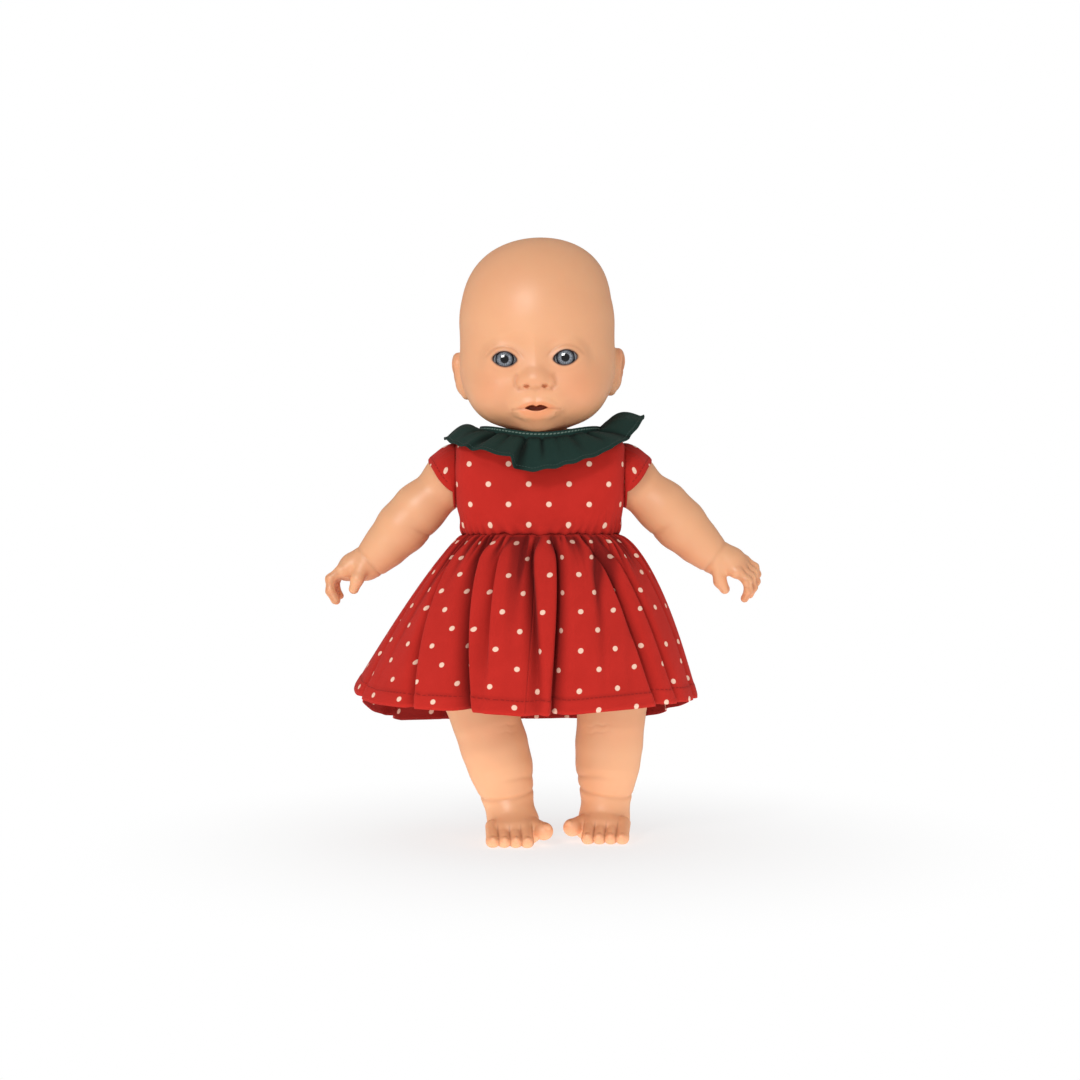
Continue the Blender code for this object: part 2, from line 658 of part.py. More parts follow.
def make_body():
    loops = body_loops(0)
    seat = neck_seat_radius()
    tie_half = NECK_TIE_HEIGHT / 2
    rim_z = NECK_PIVOT_Z + NECK_GROOVE_HEIGHT / 2 - 2 * CLEARANCE
    loops.append(neck_circle(NECK_RADIUS + 4 * CLEARANCE, rim_z))
    loops.append(neck_circle(seat, NECK_PIVOT_Z + tie_half + BODY_CLOTH))
    loops.append(neck_circle(seat, NECK_PIVOT_Z - tie_half))
    cover = loft("body_cover", loops, BODY_COTTON, caps=(True, False))
    thicken(cover, BODY_CLOTH)
    settle(cover)
    for name, side, z, half_width in joint_points():
        hole = rod(f"{name} cloth hole", (0, BODY_CENTRE_Y, z),
                   (side * (half_width + CUT_OVERRUN), BODY_CENTRE_Y, z), STUD_STEM_RADIUS + CLEARANCE,
                   segments=16)
        boolean(cover, hole)
    settle(cover)

    filling_loops = body_loops(-BODY_CLOTH - 3 * CLEARANCE)[:-3]
    filling = loft("body_stuffing", filling_loops, STUFFING, caps=(True, True))
    for name, side, z, half_width in joint_points():
        inside = half_width - BODY_CLOTH - 3 * CLEARANCE - WASHER_THICKNESS - STUD_STEM_TIP
        boolean(filling, rod(f"{name} stuffing pocket", (side * inside, BODY_CENTRE_Y, z),
                             (side * (half_width + CUT_OVERRUN), BODY_CENTRE_Y, z),
                             STUFFING_POCKET_RADIUS, segments=16))
    pocket_floor = NECK_PIVOT_Z - NECK_FLANGE_DROP - 3 * CLEARANCE
    boolean(filling, rod("neck stuffing pocket", (0, 0, pocket_floor),
                         (0, 0, pocket_floor + HEAD_HEIGHT / 2), NECK_RADIUS + BODY_CLOTH + 4 * CLEARANCE))
    settle(filling)

    tie_inner = seat + BODY_CLOTH + CLEARANCE
    profile = [(tie_inner, -tie_half), (tie_inner + NECK_TIE_THICKNESS, -tie_half),
               (tie_inner + NECK_TIE_THICKNESS, tie_half), (tie_inner, tie_half)]
    ring_of("neck_tie", profile, (0, 0, NECK_PIVOT_Z), Matrix(), WHITE_PLASTIC)


def make_stud(name, side, z, half_width, seat_x, wall, parent):
    """The disc inside the limb, its stem through limb and cloth, and the washer that locks it."""
    disc_x = seat_x + wall + CLEARANCE
    tip_x = half_width - BODY_CLOTH - 2 * CLEARANCE - WASHER_THICKNESS - STUD_STEM_TIP / 2
    disc_back = disc_x + STUD_DISC_THICKNESS
    outline = [(STUD_STEM_RADIUS * 0.7, tip_x), (STUD_STEM_RADIUS, tip_x + STUD_STEM_RADIUS / 2),
               (STUD_STEM_RADIUS, disc_x), (STUD_DISC_RADIUS, disc_x), (STUD_DISC_RADIUS, disc_back)]
    sideways = Matrix.Rotation(side * math.pi / 2, 4, "Y")
    centre = (0, BODY_CENTRE_Y, z)
    bm = bmesh.new()
    rows = []
    matrix = Matrix.Translation(centre) @ sideways
    segments = SMALL_SEGMENTS
    for r, h in outline:
        rows.append([bm.verts.new(matrix @ Vector((r * math.cos(a), r * math.sin(a), h)))
                     for a in (2 * math.pi * i / segments for i in range(segments))])
    for low, high in zip(rows, rows[1:]):
        for i in range(segments):
            j = (i + 1) % segments
            bm.faces.new((low[i], low[j], high[j], high[i]))
    bm.faces.new(list(reversed(rows[0])))
    bm.faces.new(rows[-1])
    from_bmesh(f"{name}_joint_stud", bm, WHITE_PLASTIC, parent)
    washer_out = half_width - BODY_CLOTH - 2 * CLEARANCE
    bore = STUD_STEM_RADIUS + CLEARANCE
    washer = [(bore, washer_out - WASHER_THICKNESS), (WASHER_RADIUS, washer_out - WASHER_THICKNESS),
              (WASHER_RADIUS, washer_out), (bore, washer_out)]
    ring_of(f"{name}_lock_washer", washer, centre, sideways, WHITE_PLASTIC, parent, SMALL_SEGMENTS)


def tube_loops(points, radii, segments=16):
    """Round sections square to the path through the points."""
    loops = []
    for i, (point, radius) in enumerate(zip(points, radii)):
        before = points[max(i - 1, 0)]
        after = points[min(i + 1, len(points) - 1)]
        turn = (after - before).to_track_quat("Z", "Y").to_matrix()
        loops.append([point + turn @ Vector((radius * math.cos(a), radius * math.sin(a), 0))
                      for a in (2 * math.pi * k / segments for k in range(segments))])
    return loops


def make_arm(word, side, parent):
    """Arm with a curled hand, palm down, built along +X from the shoulder and then dropped."""
    name = f"{word}_arm"
    half_width = body_side_at(SHOULDER_Z)
    seat_x = half_width + ARM_SEAT_GAP
    bm = bmesh.new()
    points = [Vector((ARM_LENGTH * along, 0, ARM_ROOT_RADIUS * up))
              for along, up, r in ARM_STATION_SHARES]
    radii = [ARM_ROOT_RADIUS * r for along, up, r in ARM_STATION_SHARES]
    for a, b, ra, rb in zip(points, points[1:], radii, radii[1:]):
        add_bone(bm, a, b, ra, rb)
    along, up, thickness = PALM_SHARES
    palm = ARM_LENGTH * Vector((along, 0, up))
    add_bone(bm, points[-1], palm, radii[-1] * 0.9, ARM_LENGTH * thickness)
    tilt = Matrix.Rotation(-math.atan2(KNUCKLE_SHARES[1] - PALM_SHARES[1],
                                       KNUCKLE_SHARES[0] - PALM_SHARES[0]), 4, "Y")
    add_ball(bm, palm, (PALM_HALF_WIDTH, PALM_HALF_WIDTH, ARM_LENGTH * thickness), tilt)
    for finger in range(4):
        off = finger - 1.5
        curl = 1.0 + 0.12 * ((finger * 2) % 3 - 1)
        spread = off * FINGER_SPACING
        joints = []
        for reach, rise in (KNUCKLE_SHARES, FINGER_BEND_SHARES, FINGER_TIP_SHARES):
            beyond = reach - KNUCKLE_SHARES[0]
            short = 1.0 - 0.09 * abs(off)
            joints.append(ARM_LENGTH * Vector((KNUCKLE_SHARES[0] + beyond * short, 0,
                                               KNUCKLE_SHARES[1] + (rise - KNUCKLE_SHARES[1]) * curl))
                          + Vector((0, spread * (1 + 1.6 * beyond), 0)))
        add_bone(bm, joints[0], joints[1], FINGER_RADIUS * 1.12, FINGER_RADIUS, segments=12)
        add_bone(bm, joints[1], joints[2], FINGER_RADIUS, FINGER_RADIUS * 0.85, segments=12)
    add_bone(bm, ARM_LENGTH * Vector(THUMB_ROOT_SHARES), ARM_LENGTH * Vector(THUMB_TIP_SHARES),
             THUMB_RADIUS * 1.3, THUMB_RADIUS * 0.85, segments=12)

    drop = ARM_DROP - (LEFT_ARM_LIFT if side > 0 else 0)
    pose = (Matrix.Translation((side * half_width, BODY_CENTRE_Y, SHOULDER_Z))
            @ Matrix.Rotation(side * drop, 4, "Y") @ Matrix.Diagonal((side, 1, 1, 1)))
    bmesh.ops.transform(bm, matrix=pose, verts=bm.verts)
    root = Vector((side * half_width, BODY_CENTRE_Y, SHOULDER_Z))
    add_ball(bm, root + Vector((side * ARM_ROOT_RADIUS * 0.25, 0, 0)),
             (ARM_ROOT_RADIUS * 0.9, ARM_ROOT_RADIUS, ARM_ROOT_RADIUS))
    arm = moulded(name, bm, SKIN, LIMB_VOXEL, ARM_DETAIL_SHARE, LIMB_SMOOTH_ROUNDS, parent)

    inside = seat_x - 2 * ARM_ROOT_RADIUS
    flat = rod(f"{name} root cut", (side * inside, BODY_CENTRE_Y, SHOULDER_Z),
               (side * seat_x, BODY_CENTRE_Y, SHOULDER_Z), 2 * ARM_ROOT_RADIUS)
    boolean(arm, flat)
    disc_room = STUD_DISC_THICKNESS + 3 * CLEARANCE
    start = root + Vector((side * (ARM_SEAT_GAP + LIMB_WALL), 0, 0))
    well = start + Vector((side * disc_room, 0, 0))
    hollow_points = [start, well, *[pose @ p for p in points[1:]]]
    well_radius = STUD_DISC_RADIUS + 2 * CLEARANCE
    hollow_radii = [well_radius, well_radius, *[r - LIMB_WALL for r in radii[1:]]]
    loops = tube_loops(hollow_points, hollow_radii)
    flat_turn = Matrix.Rotation(math.pi / 2, 3, "Y")
    for i in (0, 1):
        loops[i] = [hollow_points[i] + flat_turn @ Vector((well_radius * math.cos(a), well_radius * math.sin(a), 0))
                    for a in (2 * math.pi * k / 16 for k in range(16))]
    align_loops(loops)
    hollow = cutter(loft(f"{name} hollow", loops, None, caps=(True, True)))
    boolean(arm, hollow)
    boolean(arm, rod(f"{name} stud bore", root, well, STUD_STEM_RADIUS + CLEARANCE, segments=16))
    settle(arm)
    make_stud(name, side, SHOULDER_Z, half_width, seat_x, LIMB_WALL, parent)
    make_sleeve(word, side, parent)


def align_loops(loops):
    """Turns each loop's start, and its direction, to follow the loop before it."""
    for i in range(1, len(loops)):
        before, loop = loops[i - 1], loops[i]
        count = len(loop)
        ways = []
        for order in (loop, list(reversed(loop))):
            for shift in range(count):
                moved = order[shift:] + order[:shift]
                ways.append((sum((a - b).length_squared for a, b in zip(before, moved)), shift, moved))
        loops[i] = min(ways, key=lambda way: way[0])[2]


def make_leg(word, parent):
    """Leg with a bare foot: sole flat on the ground, four small toes and a splayed big toe."""
    side, hip_share, ankle_share, forward_share, toe_in = LEG_STANCE_SHARES[word]
    name = f"{word}_leg"
    half_width = body_side_at(HIP_Z)
    seat_x = half_width + LEG_SEAT_GAP
    hip = Vector((side * HIP_Z * hip_share, BODY_CENTRE_Y, HIP_Z))
    ankle = Vector((side * HIP_Z * ankle_share, HIP_Z * forward_share, 0))
    bm = bmesh.new()
    points = []
    radii = []
    for height, radius, bulge in LEG_STATION_SHARES:
        low = 1 - height
        bow = low * low * (3 - 2 * low)
        x = hip.x + (ankle.x - hip.x) * bow
        y = hip.y + (ankle.y - hip.y) * low - HIP_Z * bulge
        points.append(Vector((x, y, HIP_Z * height)))
        radii.append(HIP_Z * radius)
    for a, b, ra, rb in zip(points, points[1:], radii, radii[1:]):
        add_bone(bm, a, b, ra, rb)
    turn = Matrix.Rotation(-side * math.radians(toe_in), 4, "Z")
    foot = Matrix.Translation((ankle.x, ankle.y, 0)) @ turn @ Matrix.Diagonal((side, 1, 1, 1))
    heel = foot @ Vector((0, FOOT_LENGTH * 0.13, FOOT_HEIGHT * 0.44))
    instep = foot @ Vector((0, -FOOT_LENGTH * 0.08, FOOT_HEIGHT * 0.53))
    forefoot = foot @ Vector((0, -FOOT_LENGTH * 0.34, FOOT_HEIGHT * 0.33))
    add_ball(bm, heel, (FOOT_WIDTH * 0.42, FOOT_LENGTH * 0.30, FOOT_HEIGHT * 0.54))
    add_ball(bm, instep, (FOOT_WIDTH * 0.47, FOOT_LENGTH * 0.34, FOOT_HEIGHT * 0.60), turn)
    add_ball(bm, forefoot, (FOOT_WIDTH * 0.52, FOOT_LENGTH * 0.28, FOOT_HEIGHT * 0.40), turn)
    for toe in range(4):
        across = FOOT_WIDTH * 0.42 - TOE_SPACING * toe
        reach = -FOOT_LENGTH * (0.57 + 0.025 * toe)
        root = foot @ Vector((across, reach + FOOT_LENGTH * 0.22, TOE_RADIUS * 1.4))
        tip = foot @ Vector((across, reach, TOE_RADIUS * 0.90))
        add_bone(bm, root, tip, TOE_RADIUS * 1.1, TOE_RADIUS, segments=14)
    big_root = foot @ Vector((-FOOT_WIDTH * 0.34, -FOOT_LENGTH * 0.30, BIG_TOE_RADIUS * 1.9))
    big_tip = foot @ Vector((-FOOT_WIDTH * 0.50, -FOOT_LENGTH * 0.48, BIG_TOE_RADIUS * 1.8))
    add_bone(bm, big_root, big_tip, BIG_TOE_RADIUS * 1.2, BIG_TOE_RADIUS, segments=14)
    leg = moulded(name, bm, SKIN, LIMB_VOXEL, LEG_DETAIL_SHARE, LIMB_SMOOTH_ROUNDS, parent)

    floor = rod(f"{name} sole cut", (ankle.x, ankle.y, -FOOT_HEIGHT), (ankle.x, ankle.y, 0), 2 * FOOT_LENGTH)
    boolean(leg, floor)
    axis_y = BODY_CENTRE_Y
    flat = rod(f"{name} root cut", (side * (seat_x - 2 * LEG_ROOT_RADIUS), axis_y, HIP_Z),
               (side * seat_x, axis_y, HIP_Z), LEG_ROOT_RADIUS + 2 * CUT_OVERRUN)
    boolean(leg, flat)
    start = Vector((side * (seat_x + LIMB_WALL), axis_y, HIP_Z))
    disc_room = STUD_DISC_THICKNESS + 3 * CLEARANCE
    well = start + Vector((side * disc_room, 0, 0))
    well_radius = STUD_DISC_RADIUS + 2 * CLEARANCE
    hollow_points = points[:-2]
    hollow_radii = [r - LIMB_WALL for r in radii[:-2]]
    hollow_radii[0] = radii[0] * 0.6
    loops = tube_loops(hollow_points, hollow_radii)
    align_loops(loops)
    hollow = cutter(loft(f"{name} hollow", loops, None, caps=(True, True)))
    boolean(leg, hollow)
    pocket = rod(f"{name} stud well", start, hip, well_radius, segments=16)
    boolean(leg, pocket)
    inner = Vector((side * half_width, axis_y, HIP_Z))
    boolean(leg, rod(f"{name} stud bore", inner, well, STUD_STEM_RADIUS + CLEARANCE, segments=16))
    settle(leg)
    make_stud(name, side, HIP_Z, half_width, seat_x, LIMB_WALL, parent)


def make_sleeve(word, side, parent):
    """A cap sleeve: round where it meets the armhole, long over the shoulder, short below."""
    start_x = SHOULDER_HALF_WIDTH + DRESS_GAP + DRESS_CLOTH + DRESS_GAP
    segments = RING_SEGMENTS
    rings = 3
    loops = []
    for ring in range(rings):
        t = ring / (rings - 1)
        loop = []
        for k in range(segments):
            angle = 2 * math.pi * k / segments
            up = 0.5 + 0.5 * math.cos(angle)
            reach = SLEEVE_UNDER_LENGTH + (SLEEVE_TOP_LENGTH - SLEEVE_UNDER_LENGTH) * up ** 1.4
            drop = math.tan(ARM_DROP) * reach * t * 0.80
            radius = ARMHOLE_RADIUS + SLEEVE_FLARE * up * math.sin(math.pi / 2 * t)
            x = side * (start_x + reach * t)
            y = BODY_CENTRE_Y + radius * math.sin(angle)
            z = SHOULDER_Z + radius * math.cos(angle) - drop
            loop.append(Vector((x, y, z)))
        loops.append(loop)
    sleeve = loft(f"{word}_sleeve", loops, RED_COTTON, parent)
    thicken(sleeve, DRESS_CLOTH, offset=0.0)
    settle(sleeve)


def neckline_z(angle):
    """Height of the neckline: low in front, higher at the sides and back."""
    front = max(0.0, -math.sin(angle))
    return NECKLINE_SIDE_Z + (NECKLINE_FRONT_Z - NECKLINE_SIDE_Z) * front ** 4


def neckline_loop(grow, rise, segments=RING_SEGMENTS):
    loop = []
    for k in range(segments):
        angle = 2 * math.pi * k / segments
        loop.append(Vector((
            (NECKLINE_HALF_WIDTH + grow) * math.cos(angle),
            BODY_CENTRE_Y + (NECKLINE_HALF_DEPTH + grow) * math.sin(angle),
            neckline_z(angle) + rise)))
    return loop


def dress_loops(grow):
    """The bodice's sections from the waist to the neckline, over the body by grow."""
    waist_share = (WAIST_Z - BODY_BOTTOM_Z) / body_height()
    rows = [row for row in BODY_SECTION_SHARES if waist_share - 0.001 < row[0] < BODICE_TOP_SHARES[0][0]]
    loops = [grown_section(row, grow) for row in rows + BODICE_TOP_SHARES]
    loops.append(neckline_loop(0, -COLLAR_BAND_HEIGHT - 2 * CLEARANCE))
    loops.append(neckline_loop(0, -3 * CLEARANCE))
    return loops


def make_bodice():
    bodice = loft("dress_bodice", dress_loops(DRESS_GAP + DRESS_CLOTH), RED_COTTON)
    thicken(bodice, DRESS_CLOTH)
    settle(bodice)
    reach = SHOULDER_HALF_WIDTH + CUT_OVERRUN
    for side, word in ((1, "left"), (-1, "right")):
        boolean(bodice, rod(f"{word} armhole", (0, BODY_CENTRE_Y, SHOULDER_Z),
                            (side * reach, BODY_CENTRE_Y, SHOULDER_Z), ARM_ROOT_RADIUS + 3 * CLEARANCE))
    slit_bm = bmesh.new()
    slit_back = BODY_CENTRE_Y + CHEST_HALF_DEPTH
    low = WAIST_Z - CUT_OVERRUN
    high = NECKLINE_SIDE_Z + CUT_OVERRUN
    size = Matrix.Diagonal((PLACKET_SLIT, CHEST_HALF_DEPTH, high - low, 1))
    matrix = Matrix.Translation((0, slit_back, (low + high) / 2)) @ size
    bmesh.ops.create_cube(slit_bm, size=1.0, matrix=matrix)
    boolean(bodice, cutter(from_bmesh("back slit", slit_bm, None)))
    settle(bodice)
    make_placket()


def back_line(grow):
    """Height and depth of the bodice's back centre, from the waist to under the collar."""
    line = []
    for loop in dress_loops(grow)[:-2]:
        rear = max(loop, key=lambda point: point.y)
        line.append((rear.z, rear.y))
    return line


def make_placket():
    """A strip over the back slit, closed by three press studs."""
    grow = DRESS_GAP + DRESS_CLOTH
    rows = back_line(grow)[:-1]
    bend = PLACKET_WIDTH * PLACKET_WIDTH / (8 * SHOULDER_HALF_WIDTH)
    bm = bmesh.new()
    columns = 5
    grid = []
    for z, y in rows:
        line = []
        for column in range(columns):
            across = column / (columns - 1) * 2 - 1
            line.append(bm.verts.new((across * PLACKET_WIDTH / 2, y + CLEARANCE - bend * across ** 2 / 5, z)))
        grid.append(line)
    for low, high in zip(grid, grid[1:]):
        for c in range(columns - 1):
            bm.faces.new((low[c + 1], low[c], high[c], high[c + 1]))
    placket = from_bmesh("back_placket", bm, RED_COTTON)
    thicken(placket, DRESS_CLOTH, offset=1.0)
    settle(placket)
    zs = [z for z, y in rows]
    ys = [y for z, y in rows]
    for number, share in enumerate((0.10, 0.45, 0.80), start=1):
        z = WAIST_Z + (SHOULDER_Z - WAIST_Z) * share * 1.35
        y = float(np.interp(z, zs, ys)) + 3 * CLEARANCE + DRESS_CLOTH
        tilt_gap = abs(float(np.interp(z + SNAP_RADIUS, zs, ys)) - float(np.interp(z - SNAP_RADIUS, zs, ys)))
        y += tilt_gap / 2
        rod(f"back_snap_{number}", (0, y, z), (0, y + SNAP_THICKNESS, z), SNAP_RADIUS, WHITE_PLASTIC)


def make_collar():
    """The stitched neck band, and the fluted ruffle that hangs from it over the shoulders."""
    inner = CLEARANCE
    band = loft("collar_band", [neckline_loop(inner + COLLAR_CLOTH, -COLLAR_BAND_HEIGHT),
                                neckline_loop(inner + COLLAR_CLOTH, -COLLAR_BAND_HEIGHT / 2),
                                neckline_loop(inner + COLLAR_CLOTH, 0)], GREEN_COTTON)
    thicken(band, COLLAR_CLOTH)
    settle(band)

    start = inner + COLLAR_CLOTH + CLEARANCE
    rings = 4
    loops = []
    for ring in range(rings):
        t = ring / (rings - 1)
        loop = []
        for k in range(RUFFLE_SEGMENTS):
            angle = 2 * math.pi * k / RUFFLE_SEGMENTS
            front = max(0.0, -math.sin(angle))
            back = max(0.0, math.sin(angle))
            wave = math.sin(RUFFLE_FLUTES * angle + 0.8 * math.sin(angle))
            hang = (RUFFLE_SIDE_HANG + (RUFFLE_FRONT_HANG - RUFFLE_SIDE_HANG) * front ** 2
                    + (RUFFLE_BACK_HANG - RUFFLE_SIDE_HANG) * back ** 2)
            out = RUFFLE_WIDTH * math.cos(hang) * t
            down = RUFFLE_WIDTH * math.sin(hang) * t
            lift = RUFFLE_FLUTE_DEPTH * t * (0.9 + wave)
            grow = start + out + RUFFLE_FLUTE_DEPTH * t * wave * 0.35
            loop.append(Vector((
                (NECKLINE_HALF_WIDTH + grow) * math.cos(angle),
                BODY_CENTRE_Y + (NECKLINE_HALF_DEPTH + grow) * math.sin(angle),
                neckline_z(angle) - COLLAR_BAND_HEIGHT * 0.5 - down + lift)))
        loops.append(loop)
    ruffle = loft("collar_ruffle", loops, GREEN_COTTON)
    thicken(ruffle, COLLAR_CLOTH, offset=0.0)
    settle(ruffle)


def make_skirt():
    """The gathered skirt: close folds at the waist that open to a wide wavy hem."""
    grow = DRESS_GAP + DRESS_CLOTH
    top_half_width = body_side_at(WAIST_Z) + grow
    top_half_depth = CHEST_HALF_DEPTH * 0.97 + grow
    rings = 5
    loops = []
    for ring in range(rings):
        t = ring / (rings - 1)
        spread = t ** 0.62
        loop = []
        for k in range(SKIRT_SEGMENTS):
            angle = 2 * math.pi * k / SKIRT_SEGMENTS
            c, s = math.cos(angle), math.sin(angle)
            wave = math.sin(SKIRT_FOLDS * angle + 0.9 * math.sin(2 * angle))
            fold = SKIRT_FOLD_DEPTH * (wave - 1) * t
            half_width = top_half_width + (SKIRT_HEM_HALF_WIDTH - top_half_width) * spread + fold
            half_depth = top_half_depth + (SKIRT_HEM_HALF_DEPTH - top_half_depth) * spread + fold
            end_z = SKIRT_HEM_FRONT_Z if s < 0 else SKIRT_HEM_BACK_Z
            hem_z = end_z + (SKIRT_HEM_SIDE_Z - end_z) * c * c
            z = WAIST_Z - CLEARANCE + (hem_z - WAIST_Z) * t
            power = 2 / (SKIRT_TOP_SQUARENESS + (2 - SKIRT_TOP_SQUARENESS) * t)
            x = half_width * math.copysign(abs(c) ** power, c) - SKIRT_HEM_SHIFT * t
            y = half_depth * math.copysign(abs(s) ** power, s) + BODY_CENTRE_Y * (1 - t)
            loop.append(Vector((x, y, z)))
        loops.append(loop)
    skirt = loft("dress_skirt", loops, RED_COTTON)
    thicken(skirt, DRESS_CLOTH)
    settle(skirt)


def main():
    neck = joint_empty("neck_pivot", (0, 0, NECK_PIVOT_Z))
    make_head(neck)
    make_eyes(neck)
    make_body()
    for side, word in ((1, "left"), (-1, "right")):
        shoulder = joint_empty(f"{word}_shoulder_pivot", (side * SHOULDER_HALF_WIDTH, BODY_CENTRE_Y, SHOULDER_Z))
        hip = joint_empty(f"{word}_hip_pivot", (side * body_side_at(HIP_Z), BODY_CENTRE_Y, HIP_Z))
        make_arm(word, side, shoulder)
        make_leg(word, hip)
    make_bodice()
    make_collar()
    make_skirt()


main()
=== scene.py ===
import math

import bmesh
import bpy
import numpy as np
from bpy.props import FloatProperty, FloatVectorProperty, PointerProperty
from mathutils import Matrix, Vector


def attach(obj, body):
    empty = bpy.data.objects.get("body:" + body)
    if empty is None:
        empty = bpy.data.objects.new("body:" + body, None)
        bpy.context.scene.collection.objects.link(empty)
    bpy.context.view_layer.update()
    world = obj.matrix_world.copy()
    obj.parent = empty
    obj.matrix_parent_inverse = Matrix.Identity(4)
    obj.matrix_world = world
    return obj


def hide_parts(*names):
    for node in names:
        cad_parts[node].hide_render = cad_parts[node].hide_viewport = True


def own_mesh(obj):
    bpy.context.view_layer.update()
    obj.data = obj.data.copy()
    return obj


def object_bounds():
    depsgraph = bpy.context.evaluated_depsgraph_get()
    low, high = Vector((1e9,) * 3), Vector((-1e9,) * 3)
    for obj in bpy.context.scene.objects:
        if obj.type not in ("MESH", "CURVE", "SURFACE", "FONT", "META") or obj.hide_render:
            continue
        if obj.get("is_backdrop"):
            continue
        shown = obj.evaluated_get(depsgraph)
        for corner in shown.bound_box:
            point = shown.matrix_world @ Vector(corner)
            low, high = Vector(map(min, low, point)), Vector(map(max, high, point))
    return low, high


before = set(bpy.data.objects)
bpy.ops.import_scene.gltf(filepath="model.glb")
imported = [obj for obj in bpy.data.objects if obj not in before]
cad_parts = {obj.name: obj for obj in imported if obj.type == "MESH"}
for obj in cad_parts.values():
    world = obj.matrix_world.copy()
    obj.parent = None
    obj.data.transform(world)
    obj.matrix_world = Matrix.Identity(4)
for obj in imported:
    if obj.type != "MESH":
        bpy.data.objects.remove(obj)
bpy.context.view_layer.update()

bl_info = {
    "name": "Dressed Baby Doll",
    "version": (1, 0, 0),
    "blender": (4, 5, 0),
    "location": "3D View > Sidebar > Baby Doll",
    "description": "Makes a soft-bodied vinyl baby doll in a dotted cotton dress with a fluted collar",
    "category": "Add Mesh",
}

MM = 0.001
SIDES = ((1, "left"), (-1, "right"))

# Places of the frame's solids in millimetres: the trunk's ends, half sizes and middle, with the
# shoulders at its high end, then the neckline and its band, the hip joints and the neck's turning level
TRUNK_LOW, TRUNK_HIGH, HALF_WIDTH, HALF_DEPTH, MIDDLE_Y = 106.0, 216.5, 49.0, 33.0, 2.0
NECK_HALF, NECK_SIDE_Z, NECK_FRONT_Z, BAND_HEIGHT = 34.5, 246.8, 242.5, 5.0
HIP_X, NECK_BELOW_CHIN = 24.5, 9.0
# Distance from an edge, in millimetres, of cloth that no stitch row reaches
NO_EDGE = 30.0


# Sizes and colours a user may change

def length(name, description, default):
    return FloatProperty(name=name, description=description, default=default, unit="LENGTH")


def angle(name, description, degrees):
    return FloatProperty(name=name, description=description, default=math.radians(degrees), unit="ROTATION")


def share(name, description, default):
    return FloatProperty(name=name, description=description, default=default, subtype="FACTOR")


def colour(name, description, default):
    return FloatVectorProperty(name=name, description=description, default=default, size=3,
                               subtype="COLOR", min=0, max=1)


class DollVinylSettings(bpy.types.PropertyGroup):
    """The moulded head, arms and legs"""
    head_height: length("Head height", "Chin to crown", 0.117)
    crown_height: length("Doll height", "Floor to crown", 0.360)
    head_roll: angle("Head tilt", "Lean of the head to one side", -1.5)
    head_yaw: angle("Head turn", "Turn of the head to one side", -2.0)
    face_grain: length("Head mesh", "Size of the head's faces", 0.00078)
    limb_grain: length("Limb mesh", "Size of the faces on the arms and legs", 0.00075)
    arm_length: length("Arm length", "Shoulder to finger tips", 0.112)
    arm_radius: length("Arm root radius", "Radius of the upper arm", 0.0168)
    arm_drop: angle("Arm drop", "How far the arms hang below level", 46)
    left_arm_lift: angle("Left arm lift", "How much higher the left arm is held", 3.0)
    left_hand_turn: angle("Left hand turn", "Twist of the left hand about the arm", 38)
    right_hand_turn: angle("Right hand turn", "Twist of the right hand about the arm", -6)
    hip_height: length("Hip height", "Floor to the hip joints", 0.128)
    skin: colour("Skin", "Vinyl colour", (0.800, 0.405, 0.212))
    blush: colour("Blush", "Sprayed colour on cheeks, nose and knuckles", (0.745, 0.270, 0.130))
    lips: colour("Lips", "Lip colour", (0.800, 0.285, 0.120))
    # Painted shade: the colour that darkens the moulded creases, hollows and gaps
    crease_shade: colour("Creases", "Colour that gathers in the moulded creases", (0.420, 0.150, 0.065))
    mouth: colour("Mouth", "Inside the parted lips", (0.330, 0.034, 0.003))
    gloss: share("Skin roughness", "Roughness of the vinyl", 0.44)


class DollEyeSettings(bpy.types.PropertyGroup):
    """The fixed eyes"""
    spacing: length("Eye spacing", "Between the eye centres", 0.0352)
    rise: length("Eye height", "Eye centres above the chin", 0.0415)
    setback: length("Eye depth", "Eye centres ahead of the neck's line", 0.0350)
    radius: length("Eye radius", "Radius of the eyeball", 0.0100)
    iris_radius: length("Iris radius", "Radius of the coloured part", 0.0053)
    pupil_radius: length("Pupil radius", "Radius of the dark middle", 0.0022)
    cornea: length("Clear bulge", "How far the clear front stands out", 0.0008)
    # The white is set grey: painted shade of the lids over it
    white: colour("Eye white", "Colour of the white", (0.46, 0.46, 0.48))
    iris: colour("Iris", "Grey blue of the iris", (0.080, 0.088, 0.102))
    iris_light: colour("Iris fibres", "Pale fibres in the iris", (0.430, 0.460, 0.510))
    # Dark lid line round the eye opening; the same colour is painted shade on the opening's inner wall
    lid_line_and_shade: colour("Lid line", "Dark line round the opening", (0.055, 0.018, 0.012))


